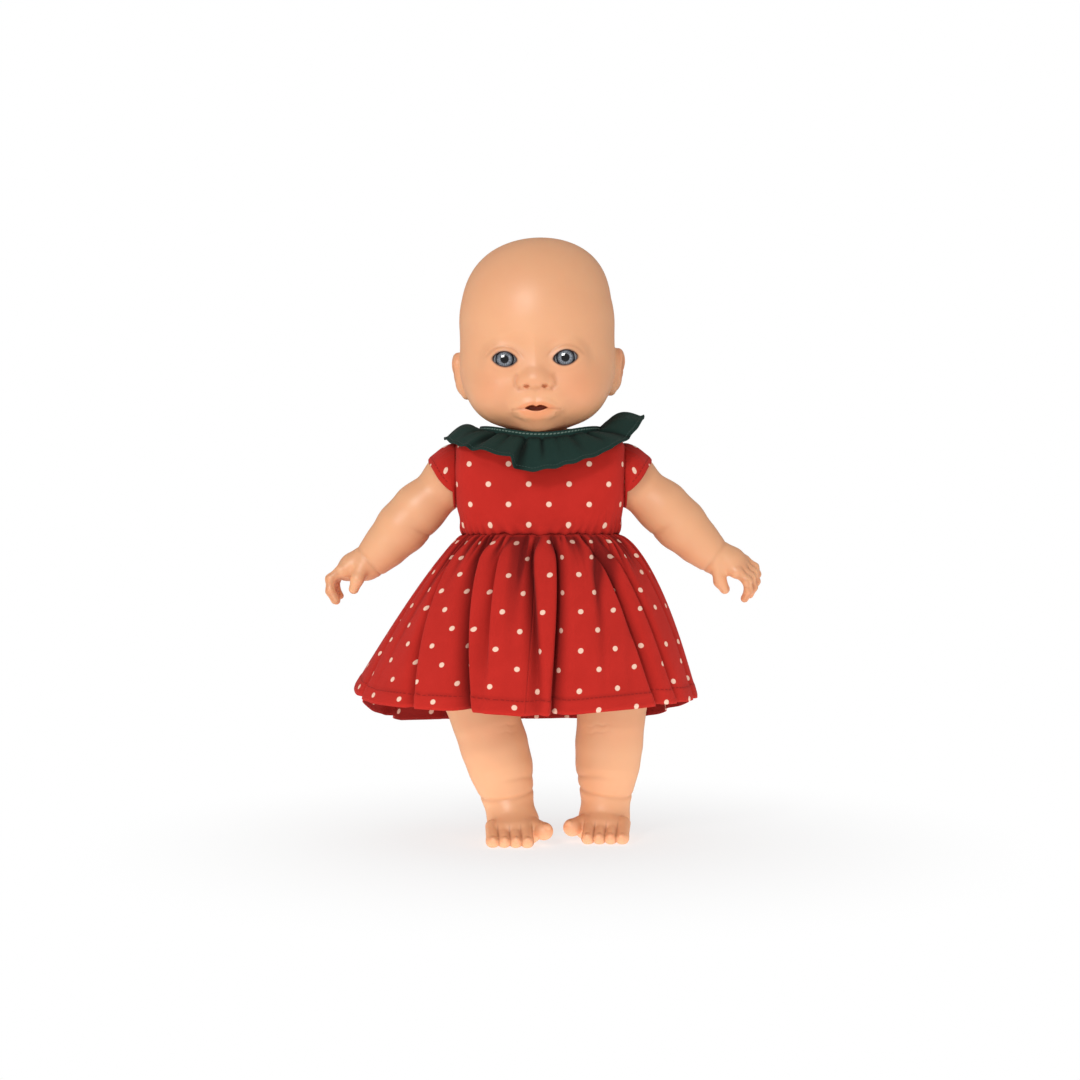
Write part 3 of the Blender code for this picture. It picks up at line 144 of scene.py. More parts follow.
class DollDressSettings(bpy.types.PropertyGroup):
    """The dress and the cloth body"""
    cloth: length("Cloth thickness", "Thickness of the cotton", 0.0009)
    waist_height: length("Waist height", "Floor to the waist seam", 0.184)
    hem_half_width: length("Hem half width", "Half the hem's width", 0.1005)
    hem_half_depth: length("Hem half depth", "Half the hem's depth", 0.0790)
    hem_front: length("Front hem height", "Floor to the front hem", 0.0818)
    hem_back: length("Back hem height", "Floor to the back hem", 0.0632)
    hem_side: length("Side hem height", "Floor to the hem at the sides", 0.0855)
    hem_turn: length("Hem turn", "Width of the turned hem", 0.0085)
    ruffle_width: length("Ruffle width", "Neck band to the ruffle's edge", 0.0255)
    ruffle_depth: length("Flute depth", "Rise and fall of the ruffle", 0.0042)
    dot_spacing: length("Dot spacing", "Between dots in one row", 0.0236)
    dot_size: length("Dot size", "Diameter of one printed dot", 0.0030)
    red: colour("Red cotton", "Dress colour", (0.545, 0.0225, 0.0150))
    # Painted shade: the red that folds, seams and the skirt's inside are darkened to
    red_fold_shade: colour("Deep red", "Red in the folds", (0.150, 0.0060, 0.0050))
    dots: colour("Dots", "Colour of the printed dots", (0.930, 0.640, 0.490))
    green: colour("Green cotton", "Collar colour", (0.0115, 0.0385, 0.0310))
    thread: colour("Thread", "Stitches on the collar band", (0.170, 0.250, 0.215))
    body: colour("Body cloth", "Stuffed body cover", (0.640, 0.400, 0.270))


class DollStageSettings(bpy.types.PropertyGroup):
    """Floor, lamps and camera"""
    camera_distance: length("Camera distance", "From the doll's middle", 1.20)
    camera_height: length("Camera height", "Above the floor", 0.200)
    focal: FloatProperty(name="Focal length", description="Lens in millimetres", default=66.7,
                         subtype="DISTANCE_CAMERA")
    shift: FloatProperty(name="Lens shift", description="Share of the frame that the lens is moved up",
                         default=-0.0327)
    floor: colour("Floor", "Floor colour", (0.90, 0.90, 0.90))
    room_light: share("Room light", "Strength of the even white light", 0.63)
    lamp_power: FloatProperty(name="Lamp power", description="Full power of a soft lamp", default=6.2,
                              unit="POWER")


def settings():
    scene = bpy.context.scene
    return scene.doll_vinyl, scene.doll_eyes, scene.doll_dress, scene.doll_stage


# Moulding kit: soft unions of round forms

def ball_field(x, y, z, centre, radii):
    a, b, c = x - centre[0], y - centre[1], z - centre[2]
    near = np.sqrt((a / radii[0]) ** 2 + (b / radii[1]) ** 2 + (c / radii[2]) ** 2)
    slope = np.sqrt((a / radii[0] ** 2) ** 2 + (b / radii[1] ** 2) ** 2 + (c / radii[2] ** 2) ** 2)
    return near * (near - 1) / np.maximum(slope, 1e-9)


def bone_field(x, y, z, a, b, ra, rb):
    ax, ay, az = a
    bx, by, bz = b[0] - ax, b[1] - ay, b[2] - az
    along = ((x - ax) * bx + (y - ay) * by + (z - az) * bz) / (bx * bx + by * by + bz * bz)
    along = np.clip(along, 0, 1)
    gap = np.sqrt((x - ax - bx * along) ** 2 + (y - ay - by * along) ** 2 + (z - az - bz * along) ** 2)
    return gap - (ra + (rb - ra) * along)


def join(a, b, soft):
    h = np.maximum(soft - np.abs(a - b), 0) / soft
    return np.minimum(a, b) - h * h * soft / 4


def cut(a, b, soft):
    return -join(-a, b, soft)


def near_line(x, z, points, width):
    """1 on a line drawn through the points, fading to 0 over the width."""
    best = np.full(x.shape, 1e6)
    for (ax, az), (bx, bz) in zip(points, points[1:]):
        dx, dz = bx - ax, bz - az
        along = np.clip(((x - ax) * dx + (z - az) * dz) / (dx * dx + dz * dz), 0, 1)
        best = np.minimum(best, np.hypot(x - ax - dx * along, z - az - dz * along))
    return np.exp(-(best / width) ** 2)


def bump(value, middle, width):
    return np.exp(-((value - middle) / width) ** 2)


def step_up(value, low, high):
    t = np.clip((value - low) / (high - low), 0, 1)
    return t * t * (3 - 2 * t)


def mould(field, low, high, grain):
    """Points and four-sided faces on the field's zero skin."""
    block = 6
    low = np.array(low, float) - 2 * grain
    counts = np.ceil((np.array(high, float) + 2 * grain - low) / (grain * block)).astype(int)
    middle = (block - 1) / 2
    axes = [low[k] + grain * (np.arange(counts[k]) * block + middle) for k in range(3)]
    coarse = field(*np.meshgrid(*axes, indexing="ij"))
    reach = grain * block * 0.95 + 2.0
    busy = np.argwhere(np.abs(coarse) < reach)
    grid = coarse
    for axis in range(3):
        grid = np.repeat(grid, block, axis=axis)
    inner = np.stack(np.meshgrid(*[np.arange(block)] * 3, indexing="ij"), -1).reshape(-1, 3)
    for chunk in np.array_split(busy, max(1, len(busy) // 1500)):
        spots = (chunk[:, None, :] * block + inner[None]).reshape(-1, 3)
        p = low + grain * spots
        grid[spots[:, 0], spots[:, 1], spots[:, 2]] = field(p[:, 0], p[:, 1], p[:, 2])

    inside = grid < 0
    n = np.array(grid.shape)
    corners = np.zeros(n - 1, np.int8)
    ends = list(np.ndindex(2, 2, 2))
    for i, j, k in ends:
        corners += inside[i:n[0] - 1 + i, j:n[1] - 1 + j, k:n[2] - 1 + k]
    cells = np.argwhere((corners > 0) & (corners < 8))
    index = np.full(n - 1, -1, np.int64)
    index[cells[:, 0], cells[:, 1], cells[:, 2]] = np.arange(len(cells))
    total = np.zeros((len(cells), 3))
    hits = np.zeros(len(cells))
    for a in ends:
        for axis in range(3):
            if a[axis]:
                continue
            b = tuple(1 if t == axis else a[t] for t in range(3))
            ga = grid[cells[:, 0] + a[0], cells[:, 1] + a[1], cells[:, 2] + a[2]]
            gb = grid[cells[:, 0] + b[0], cells[:, 1] + b[1], cells[:, 2] + b[2]]
            cross = (ga < 0) != (gb < 0)
            share_along = np.where(cross, ga / np.where(cross, ga - gb, 1), 0)
            point = np.tile(np.array(a, float), (len(cells), 1))
            point[:, axis] += share_along
            total += point * cross[:, None]
            hits += cross
    points = low + grain * (cells + total / hits[:, None])

    faces = []
    for axis in range(3):
        u, v = [(1, 2), (2, 0), (0, 1)][axis]
        first = np.take(inside, range(n[axis] - 1), axis)
        second = np.take(inside, range(1, n[axis]), axis)
        edges = np.argwhere(first != second)
        edges = edges[(edges[:, u] > 0) & (edges[:, v] > 0)
                      & (edges[:, u] < n[u] - 1) & (edges[:, v] < n[v] - 1)]
        flip = inside[edges[:, 0], edges[:, 1], edges[:, 2]]
        around = []
        for du, dv in ((0, 0), (-1, 0), (-1, -1), (0, -1)):
            cell = edges.copy()
            cell[:, u] += du
            cell[:, v] += dv
            around.append(index[cell[:, 0], cell[:, 1], cell[:, 2]])
        quads = np.stack(around, 1)
        quads[~flip] = quads[~flip][:, ::-1]
        faces.append(quads)
    return points, np.concatenate(faces)


def settle_on(field, points):
    """Moves the points onto the field's skin, along its slope."""
    tiny, reach, rounds = 0.03, 0.9, 3
    for _ in range(rounds):
        x, y, z = points.T
        here = field(x, y, z)
        slope = np.stack([field(x + tiny, y, z) - here, field(x, y + tiny, z) - here,
                          field(x, y, z + tiny) - here], 1) / tiny
        size = np.maximum((slope ** 2).sum(1), 0.05)
        points = points - slope * (np.clip(here, -reach, reach) / size)[:, None]
    return points


def mesh_object(name, points, faces, marks):
    """A mesh from points in millimetres, with a number or a place a point for each mark."""
    mesh = bpy.data.meshes.new(name)
    mesh.from_pydata((points * MM).tolist(), [], faces.tolist() if isinstance(faces, np.ndarray) else faces)
    mesh.update()
    for word, values in marks.items():
        values = np.asarray(values, np.float32)
        kind, field = ("FLOAT", "value") if values.ndim == 1 else ("FLOAT_VECTOR", "vector")
        mesh.attributes.new(word, kind, "POINT").data.foreach_set(field, values.ravel())
    mesh.polygons.foreach_set("use_smooth", [True] * len(mesh.polygons))
    obj = bpy.data.objects.new(name, mesh)
    bpy.context.scene.collection.objects.link(obj)
    return obj


def refine(points, faces, wanted, cuts):
    """Splits the faces in the wanted places into smaller ones."""
    bm = bmesh.new()
    verts = [bm.verts.new(p) for p in points]
    for face in faces:
        bm.faces.new([verts[i] for i in face])
    bm.verts.index_update()
    keep = wanted(points)
    edges = [e for e in bm.edges if keep[e.verts[0].index] and keep[e.verts[1].index]]
    bmesh.ops.subdivide_edges(bm, edges=edges, cuts=cuts, use_grid_fill=True)
    bm.verts.index_update()
    new_points = np.array([v.co[:] for v in bm.verts])
    new_faces = [[v.index for v in f.verts] for f in bm.faces]
    bm.free()
    return new_points, new_faces


def fix_normals(obj):
    bm = bmesh.new()
    bm.from_mesh(obj.data)
    bmesh.ops.recalc_face_normals(bm, faces=bm.faces)
    bm.to_mesh(obj.data)
    bm.free()


def moved(points, matrix):
    m = np.array(matrix)
    return points @ m[:3, :3].T + m[:3, 3]


def turns_round(segments, start=0.0, extra=0):
    """Angles in radians once round, from the given share of a turn."""
    return (np.arange(segments + extra) / segments + start) * 2 * math.pi


def ring_faces(rings, segments, closed=True, first=0):
    faces = []
    for ring in range(rings - 1):
        a, b = first + ring * segments, first + (ring + 1) * segments
        for k in range(segments if closed else segments - 1):
            n = (k + 1) % segments
            faces.append((a + k, a + n, b + n, b + k))
    return faces


def fan(tip, first, segments, turned=False):
    """Three-sided faces from one point to the ring that begins at the first point."""
    pairs = [(first + k, first + (k + 1) % segments) for k in range(segments)]
    return [(tip, b, a) if turned else (tip, a, b) for a, b in pairs]


def finish_piece(obj, material, body, slot_name, *nodes):
    """Gives a piece its material, rides it on its body and hides the frame's nodes that it stands for."""
    obj.data.materials.append(material)
    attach(obj, body)
    if nodes:
        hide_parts(*nodes)


# Shader helpers

def group_tree(name, inputs, outputs):
    tree = bpy.data.node_groups.get(name)
    if tree:
        return tree, None, None
    tree = bpy.data.node_groups.new(name, "ShaderNodeTree")
    kinds = {"value": "NodeSocketFloat", "colour": "NodeSocketColor", "vector": "NodeSocketVector"}
    for word, kind, default in inputs:
        socket = tree.interface.new_socket(word, in_out="INPUT", socket_type=kinds[kind])
        if default is not None:
            socket.default_value = default
    for word, kind in outputs:
        tree.interface.new_socket(word, in_out="OUTPUT", socket_type=kinds[kind])
    return tree, tree.nodes.new("NodeGroupInput"), tree.nodes.new("NodeGroupOutput")


def wire(tree, source, target):
    tree.links.new(source, target)


def put(tree, socket, value):
    if isinstance(value, bpy.types.NodeSocket):
        tree.links.new(value, socket)
    elif value is not None:
        if hasattr(socket.default_value, "__len__"):
            size = len(socket.default_value)
            value = (tuple(value) + (1.0,) * (size - len(value)) if hasattr(value, "__len__")
                     else (value,) * size)
        socket.default_value = value


def maths(tree, operation, a, b=None, c=None, clamp=False):
    node = tree.nodes.new("ShaderNodeMath")
    node.operation = operation
    node.use_clamp = clamp
    for socket, value in zip(node.inputs, (a, b, c)):
        put(tree, socket, value)
    return node.outputs[0]


def vector_maths(tree, operation, a, b=None, scale=None):
    node = tree.nodes.new("ShaderNodeVectorMath")
    node.operation = operation
    put(tree, node.inputs[0], a)
    if b is not None:
        put(tree, node.inputs[1], b)
    if scale is not None:
        put(tree, node.inputs["Scale"], scale)
    return node.outputs["Value"] if operation in ("LENGTH", "DOT_PRODUCT") else node.outputs["Vector"]


def mix_colour(tree, share_in, a, b, blend="MIX"):
    node = tree.nodes.new("ShaderNodeMix")
    node.data_type = "RGBA"
    node.blend_type = blend
    put(tree, node.inputs["Factor"], share_in)
    put(tree, node.inputs[6], a)
    put(tree, node.inputs[7], b)
    return node.outputs[2]


def noise(tree, place, scale, detail=3.0, roughness=0.55):
    node = tree.nodes.new("ShaderNodeTexNoise")
    put(tree, node.inputs["Vector"], place)
    put(tree, node.inputs["Scale"], scale)
    put(tree, node.inputs["Detail"], detail)
    put(tree, node.inputs["Roughness"], roughness)
    return node.outputs["Fac"]


def between(tree, value, low, high, start=0.0, end=1.0, smooth=True):
    node = tree.nodes.new("ShaderNodeMapRange")
    node.interpolation_type = "SMOOTHSTEP" if smooth else "LINEAR"
    node.clamp = True
    for socket, given in zip(node.inputs, (value, low, high, start, end)):
        put(tree, socket, given)
    return node.outputs[0]


def mark(tree, name, output="Fac"):
    node = tree.nodes.new("ShaderNodeAttribute")
    node.attribute_name = name
    return node.outputs[output]


def place_on(tree):
    return tree.nodes.new("ShaderNodeTexCoord").outputs["Object"]


def combine(tree, x, y, z):
    node = tree.nodes.new("ShaderNodeCombineXYZ")
    for socket, value in zip(node.inputs, (x, y, z)):
        put(tree, socket, value)
    return node.outputs[0]


def split(tree, place):
    node = tree.nodes.new("ShaderNodeSeparateXYZ")
    wire(tree, place, node.inputs[0])
    return node.outputs


def use_group(tree, group, **given):
    node = tree.nodes.new("ShaderNodeGroup")
    node.node_tree = group
    for word, value in given.items():
        put(tree, node.inputs[word.replace("_", " ")], value)
    return node


def new_material(name, roughness=0.5, **plain):
    """A material with one Principled shader, its plain sockets set."""
    mat = bpy.data.materials.new(name)
    mat.use_nodes = True
    shader = mat.node_tree.nodes["Principled BSDF"]
    shader.inputs["Roughness"].default_value = roughness
    for word, value in plain.items():
        put(mat.node_tree, shader.inputs[word.replace("_", " ")], value)
    return mat, mat.node_tree, shader


def bump_into(tree, shader, height, strength, distance):
    node = tree.nodes.new("ShaderNodeBump")
    for word, value in (("Height", height), ("Strength", strength), ("Distance", distance)):
        put(tree, node.inputs[word], value)
    wire(tree, node.outputs["Normal"], shader.inputs["Normal"])


def vinyl_group():
    """Moulded vinyl: faint mottling and a fine satin grain."""
    tree, given, out = group_tree(
        "Moulded vinyl", [("Colour", "colour", None), ("Deep Colour", "colour", None),
                          ("Place", "vector", None)],
        [("Colour", "colour"), ("Roughness", "value"), ("Height", "value")])
    if given is None:
        return tree
    place = given.outputs["Place"]
    clouds = noise(tree, place, 28.0, 3.0)
    fine = noise(tree, place, 900.0, 2.0)
    grain = noise(tree, place, 2600.0, 1.0)
    patch = between(tree, clouds, 0.30, 0.75, 0.0, 0.20)
    tone = mix_colour(tree, patch, given.outputs["Colour"], given.outputs["Deep Colour"])
    wire(tree, tone, out.inputs["Colour"])
    wire(tree, between(tree, clouds, 0.25, 0.80, 0.40, 0.50), out.inputs["Roughness"])
    wire(tree, maths(tree, "MULTIPLY_ADD", fine, 0.7, maths(tree, "MULTIPLY", grain, 0.4)),
         out.inputs["Height"])
    return tree


def weave_group():
    """Plain weave: crossing threads on the cloth's own flat places, in millimetres."""
    tree, given, out = group_tree(
        "Plain weave", [("Place", "vector", None), ("Threads", "value", 2.4)],
        [("Height", "value"), ("Shade", "value"), ("Wear", "value")])
    if given is None:
        return tree
    place = given.outputs["Place"]
    wobble = noise(tree, place, 0.22, 2.0)
    turns = maths(tree, "MULTIPLY", given.outputs["Threads"], 2 * math.pi)
    flat = split(tree, place)
    across = maths(tree, "MULTIPLY_ADD", flat[0], turns, maths(tree, "MULTIPLY", wobble, 2.5))
    along = maths(tree, "MULTIPLY_ADD", flat[1], turns, maths(tree, "MULTIPLY", wobble, -2.5))
    warp = maths(tree, "SINE", across)
    weft = maths(tree, "SINE", along)
    crossing = maths(tree, "MULTIPLY", warp, weft)
    ridge = maths(tree, "ADD", maths(tree, "ABSOLUTE", warp), maths(tree, "ABSOLUTE", weft))
    slub = noise(tree, place, 1.6, 3.0)
    height = maths(tree, "MULTIPLY_ADD", crossing, 0.25, maths(tree, "MULTIPLY_ADD", ridge, 0.35, slub))
    wire(tree, height, out.inputs["Height"])
    wire(tree, maths(tree, "MULTIPLY_ADD", crossing, 0.12, maths(tree, "MULTIPLY", slub, 0.8), clamp=True),
         out.inputs["Shade"])
    wire(tree, between(tree, noise(tree, place, 0.05, 4.0), 0.35, 0.70), out.inputs["Wear"])
    return tree


def dots_group():
    """Round dots in staggered rows on the cloth's flat places; the third place is how far
    the cloth is spread there, less one, so that the dots stay round in the gathers."""
    tree, given, out = group_tree(
        "Staggered dots", [("Place", "vector", None), ("Spacing", "value", 24.0), ("Size", "value", 3.3)],
        [("Dot", "value")])
    if given is None:
        return tree
    masks = []
    place, spacing = given.outputs["Place"], given.outputs["Spacing"]
    spread = maths(tree, "ADD", split(tree, place)[2], 1.0)
    for off in (0.0, 0.5):
        scaled = vector_maths(tree, "DIVIDE", place, combine(tree, spacing, spacing, 1.0))
        shifted = vector_maths(tree, "ADD", scaled, (off, off, 0.0))
        cell = vector_maths(tree, "FRACTION", shifted)
        centred = vector_maths(tree, "SUBTRACT", cell, (0.5, 0.5, 0.0))
        flat = vector_maths(tree, "MULTIPLY", centred, combine(tree, spread, 1.0, 0.0))
        far = maths(tree, "MULTIPLY", vector_maths(tree, "LENGTH", flat), spacing)
        half = maths(tree, "MULTIPLY", given.outputs["Size"], 0.5)
        rough = maths(tree, "MULTIPLY", noise(tree, place, 2.0, 2.0), 0.22)
        edge = maths(tree, "ADD", far, rough)
        masks.append(between(tree, maths(tree, "SUBTRACT", edge, half), 0.0, 0.40, 1.0, 0.0))
    wire(tree, maths(tree, "MAXIMUM", masks[0], masks[1]), out.inputs["Dot"])
    return tree


def stitch_group():
    """A row of stitches at one distance from an edge: along and across in millimetres."""
    tree, given, out = group_tree(
        "Stitch row", [("Along", "value", 0.0), ("Across", "value", 0.0), ("Row", "value", 1.0),
                       ("Pitch", "value", 2.6), ("Width", "value", 0.34)],
        [("Thread", "value"), ("Height", "value")])
    if given is None:
        return tree
    along, across, row, pitch, width = given.outputs[:5]
    turn = maths(tree, "FRACT", maths(tree, "DIVIDE", along, pitch))
    lengthways = between(tree, maths(tree, "ABSOLUTE", maths(tree, "SUBTRACT", turn, 0.5)), 0.28, 0.38,
                         1.0, 0.0)
    off = maths(tree, "ABSOLUTE", maths(tree, "SUBTRACT", across, row))
    side = between(tree, off, width, maths(tree, "MULTIPLY", width, 1.8), 1.0, 0.0)
    thread = maths(tree, "MULTIPLY", lengthways, side)
    pucker = between(tree, off, 0.0, maths(tree, "MULTIPLY", width, 5.0), -1.0, 0.0)
    wire(tree, thread, out.inputs["Thread"])
    wire(tree, maths(tree, "ADD", thread, pucker), out.inputs["Height"])
    return tree


def skin_material():
    mat = bpy.data.materials.get("Vinyl skin")
    if mat:
        return mat
    vinyl = settings()[0]
    mat, tree, shader = new_material("Vinyl skin", vinyl.gloss, Subsurface_Weight=0.12,
                                     Subsurface_Radius=(1.0, 0.35, 0.18), Subsurface_Scale=0.004,
                                     Specular_IOR_Level=0.42, Coat_Roughness=0.35)
    place = place_on(tree)
    base = use_group(tree, vinyl_group(), Colour=vinyl.skin, Deep_Colour=vinyl.blush, Place=place)
    tone = base.outputs["Colour"]
    # Blush and lips, painted shade in the creases, the lid line with painted shade inside the eye openings, and
    # the mouth's inside
    for name, colour_on in (("blush", vinyl.blush), ("lips", vinyl.lips), ("crease_shade", vinyl.crease_shade),
                            ("lid_line_and_shade", settings()[1].lid_line_and_shade), ("mouth", vinyl.mouth)):
        tone = mix_colour(tree, mark(tree, name), tone, colour_on)
    wire(tree, tone, shader.inputs["Base Color"])
    shine = maths(tree, "MULTIPLY_ADD", mark(tree, "lips"), -0.10, base.outputs["Roughness"])
    wire(tree, shine, shader.inputs["Roughness"])
    bump_into(tree, shader, base.outputs["Height"], 0.14, 0.00018)
    return mat


# The head

# Round forms of the head, in shares of its height from the chin on the neck's line:
# name, centre, radii and how softly it runs into the forms before it.
HEAD_FORMS = [
    ("cranium", (0.0, 0.017, 0.574), (0.397, 0.440, 0.426), 0.0),
    ("back of the head", (0.0, 0.130, 0.500), (0.345, 0.326, 0.356), 0.10),
    ("jaw", (0.0, -0.050, 0.312), (0.392, 0.340, 0.310), 0.10),
    ("cheek", (0.165, -0.180, 0.205), (0.165, 0.186, 0.152), 0.08),
    ("muzzle", (0.0, -0.225, 0.165), (0.165, 0.150, 0.118), 0.07),
    ("chin", (0.0, -0.262, 0.052), (0.082, 0.072, 0.054), 0.06),
    ("under chin", (0.0, -0.150, 0.080), (0.150, 0.120, 0.080), 0.06),
]
NOSE_FORMS = [
    ("bridge", (0.0, -0.338, 0.325), (0.058, 0.046, 0.115), 0.070),
    ("tip", (0.0, -0.382, 0.252), (0.062, 0.050, 0.046), 0.040),
    ("wing", (0.064, -0.352, 0.236), (0.036, 0.046, 0.034), 0.012),
]
LIP_FORMS = [
    ("upper lip", (0.026, -0.358, 0.136), (0.056, 0.028, 0.022), 0.022),
    ("lip corner", (0.080, -0.334, 0.112), (0.040, 0.024, 0.018), 0.035),
    ("lower lip", (0.0, -0.350, 0.080), (0.074, 0.027, 0.025), 0.055),
]
EAR_FORMS = [
    ("top", (0.412, 0.058, 0.360), (0.040, 0.068, 0.068), 0.020),
    ("shell", (0.396, 0.048, 0.300), (0.036, 0.058, 0.088), 0.020),
    ("lobe", (0.370, 0.022, 0.222), (0.030, 0.036, 0.040), 0.022),
]
NOSTRIL = (0.045, -0.396, 0.219), (0.013, 0.022, 0.0062)
EAR_BOWL = (0.446, 0.040, 0.335), (0.020, 0.040, 0.074)
EAR_RIDGE = (0.424, 0.058, 0.330), (0.013, 0.014, 0.048)
# The neck in millimetres: below the chin, radius and depth of the groove for the tie
NECK_LONG, NECK_RADIUS, NECK_GROOVE = 17.5, 16.5, 3.2


def head_measures():
    """The head's height and the chin's level in millimetres."""
    vinyl = settings()[0]
    return vinyl.head_height / MM, (vinyl.crown_height - vinyl.head_height) / MM


def shared_ball(x, y, z, centre, radii):
    """A round form whose place and size are shares of the head's height."""
    height = head_measures()[0]
    return ball_field(x, y, z, [height * c for c in centre], [height * r for r in radii])


def add_forms(field, forms, x, y, z):
    """Runs the named round forms into the field, each as softly as it says."""
    height = head_measures()[0]
    for name, centre, radii, soft in forms:
        one = shared_ball(x, y, z, centre, radii)
        field = one if field is None else join(field, one, soft * height)
    return field


def eye_places(x, z):
    """Across and up from the eye's centre, with the outer corner lifted a little."""
    height, chin = head_measures()
    eyes = settings()[1]
    across = np.abs(x) - eyes.spacing / MM / 2
    up = z - (chin + eyes.rise / MM) - across * math.tan(math.radians(4.0))
    return across, up


def eye_opening(x, z):
    across, up = eye_places(x, z)
    r = settings()[1].radius / MM
    upper = np.hypot(across, up + 0.360 * r) - 0.785 * r
    lower = np.hypot(across, up - 0.420 * r) - 0.820 * r
    return join(-upper, -lower, 0.12 * r) * -1


def mouth_field(x, y, z):
    """The parted lips: an arc below, a bow above, cut straight back into the face."""
    height, chin = head_measures()
    m = np.abs(x)
    arc = np.maximum(1 - (m / (0.054 * height)) ** 2, 0.0)
    level = z - chin - 0.111 * height
    low = -0.0135 * height * arc
    high = 0.0150 * height * arc ** 0.8 - 0.0085 * height * bump(m, 0.0, 0.0115 * height)
    beyond = m - 0.054 * height
    return np.maximum(np.maximum(np.maximum(level - high, low - level), beyond), y + 0.335 * height)


def head_field(x, y, z):
    height, chin = head_measures()
    eyes = settings()[1]
    m, rise = np.abs(x), z - chin
    high = np.clip((rise / height - 0.68) / 0.32, 0, 1)
    square = np.abs(x - 0.017 * height * high) * (1 - 0.15 * high ** 1.3)
    field = add_forms(None, HEAD_FORMS, square, y, rise)
    front = step_up(-y, 0.20 * height, 0.26 * height)

    # Shallow sockets under the brow, then the lids over the eyeballs
    ex, ez, ey = eyes.spacing / MM / 2, chin + eyes.rise / MM, -eyes.setback / MM
    socket_size = (0.150 * height, 0.050 * height, 0.085 * height)
    socket = ball_field(m, y, z, (ex * 0.80, ey - 0.125 * height, ez + 0.010 * height), socket_size)
    field = cut(field, socket, 0.055 * height)
    r = eyes.radius / MM
    lid_radius = r * 1.125
    lids = ball_field(m, y, z, (ex, ey, ez), (lid_radius * 1.10, lid_radius, lid_radius * 0.97))
    field = join(field, lids, 0.042 * height)
    across, up = eye_places(x, z)
    upper_fold = 0.26 * front * bump(np.hypot(across, up + 0.475 * r), 1.23 * r, 0.10 * r)
    lower_fold = 0.07 * front * bump(np.hypot(across, up - 0.485 * r), 1.20 * r, 0.12 * r)
    field = field + upper_fold * step_up(up, -0.02 * r, 0.30 * r)
    field = field + lower_fold * step_up(-up, 0.1 * r, 0.5 * r)

    field = add_forms(field, NOSE_FORMS, m, y, rise)
    field = cut(field, shared_ball(m, y, rise, *NOSTRIL), 0.012 * height)
    field = add_forms(field, LIP_FORMS, m, y, rise)

    # Creases drawn on the front: philtrum, mouth corners, under the lower lip, beside the nose
    for points, width, depth, line_shade in face_lines(height, chin):
        field = field + depth * front * near_line(m, z, points, width)
    field = cut(field, mouth_field(x, y, z), 0.006 * height)

    field = add_forms(field, EAR_FORMS, m, y, rise)
    field = cut(field, shared_ball(m, y, rise, *EAR_BOWL), 0.014 * height)
    field = join(field, shared_ball(m, y, rise, *EAR_RIDGE), 0.014 * height)

    # Eye opening, with room behind it for the eyeball
    field = cut(field, np.maximum(eye_opening(x, z), y - ey), 0.5)
    field = cut(field, ball_field(m, y, z, (ex, ey, ez), (r + 0.25,) * 3), 0.2)

    # Neck with the groove for the tie
    groove = NECK_GROOVE * (1 - step_up(np.abs(z - (chin - NECK_BELOW_CHIN)), 3.9, 5.2))
    neck_ends = np.maximum(z - (chin + 0.10 * height), chin - NECK_LONG - z)
    neck = np.maximum(np.hypot(x, y) - NECK_RADIUS + groove, neck_ends)
    return join(field, neck, 0.8)


def face_lines(height, chin):
    """Moulded lines of the face: points, width and depth in millimetres, and how dark the painted shade in the
    line is.
    """
    lines = [
        ("philtrum", [(0.0, 0.200), (0.0, 0.168)], 0.016, 0.20, 0.02),
        ("mouth corner", [(0.058, 0.109), (0.090, 0.108), (0.120, 0.104)], 0.0062, 0.34, 0.36),
        ("under the lip", [(0.0, 0.043), (0.045, 0.047), (0.070, 0.057)], 0.022, 0.22, 0.08),
        ("round the nostril", [(0.092, 0.272), (0.1025, 0.250), (0.101, 0.222), (0.084, 0.207)],
         0.0105, 0.40, 0.24),
        ("under the nose", [(0.078, 0.206), (0.035, 0.205), (0.0, 0.200)], 0.010, 0.38, 0.18),
        ("beside the mouth", [(0.112, 0.205), (0.150, 0.165), (0.165, 0.125)], 0.030, 0.35, 0.05),
    ]
    return [([(height * a, chin + height * b) for a, b in places], wide * height, depth, line_shade)
            for name, places, wide, depth, line_shade in lines]


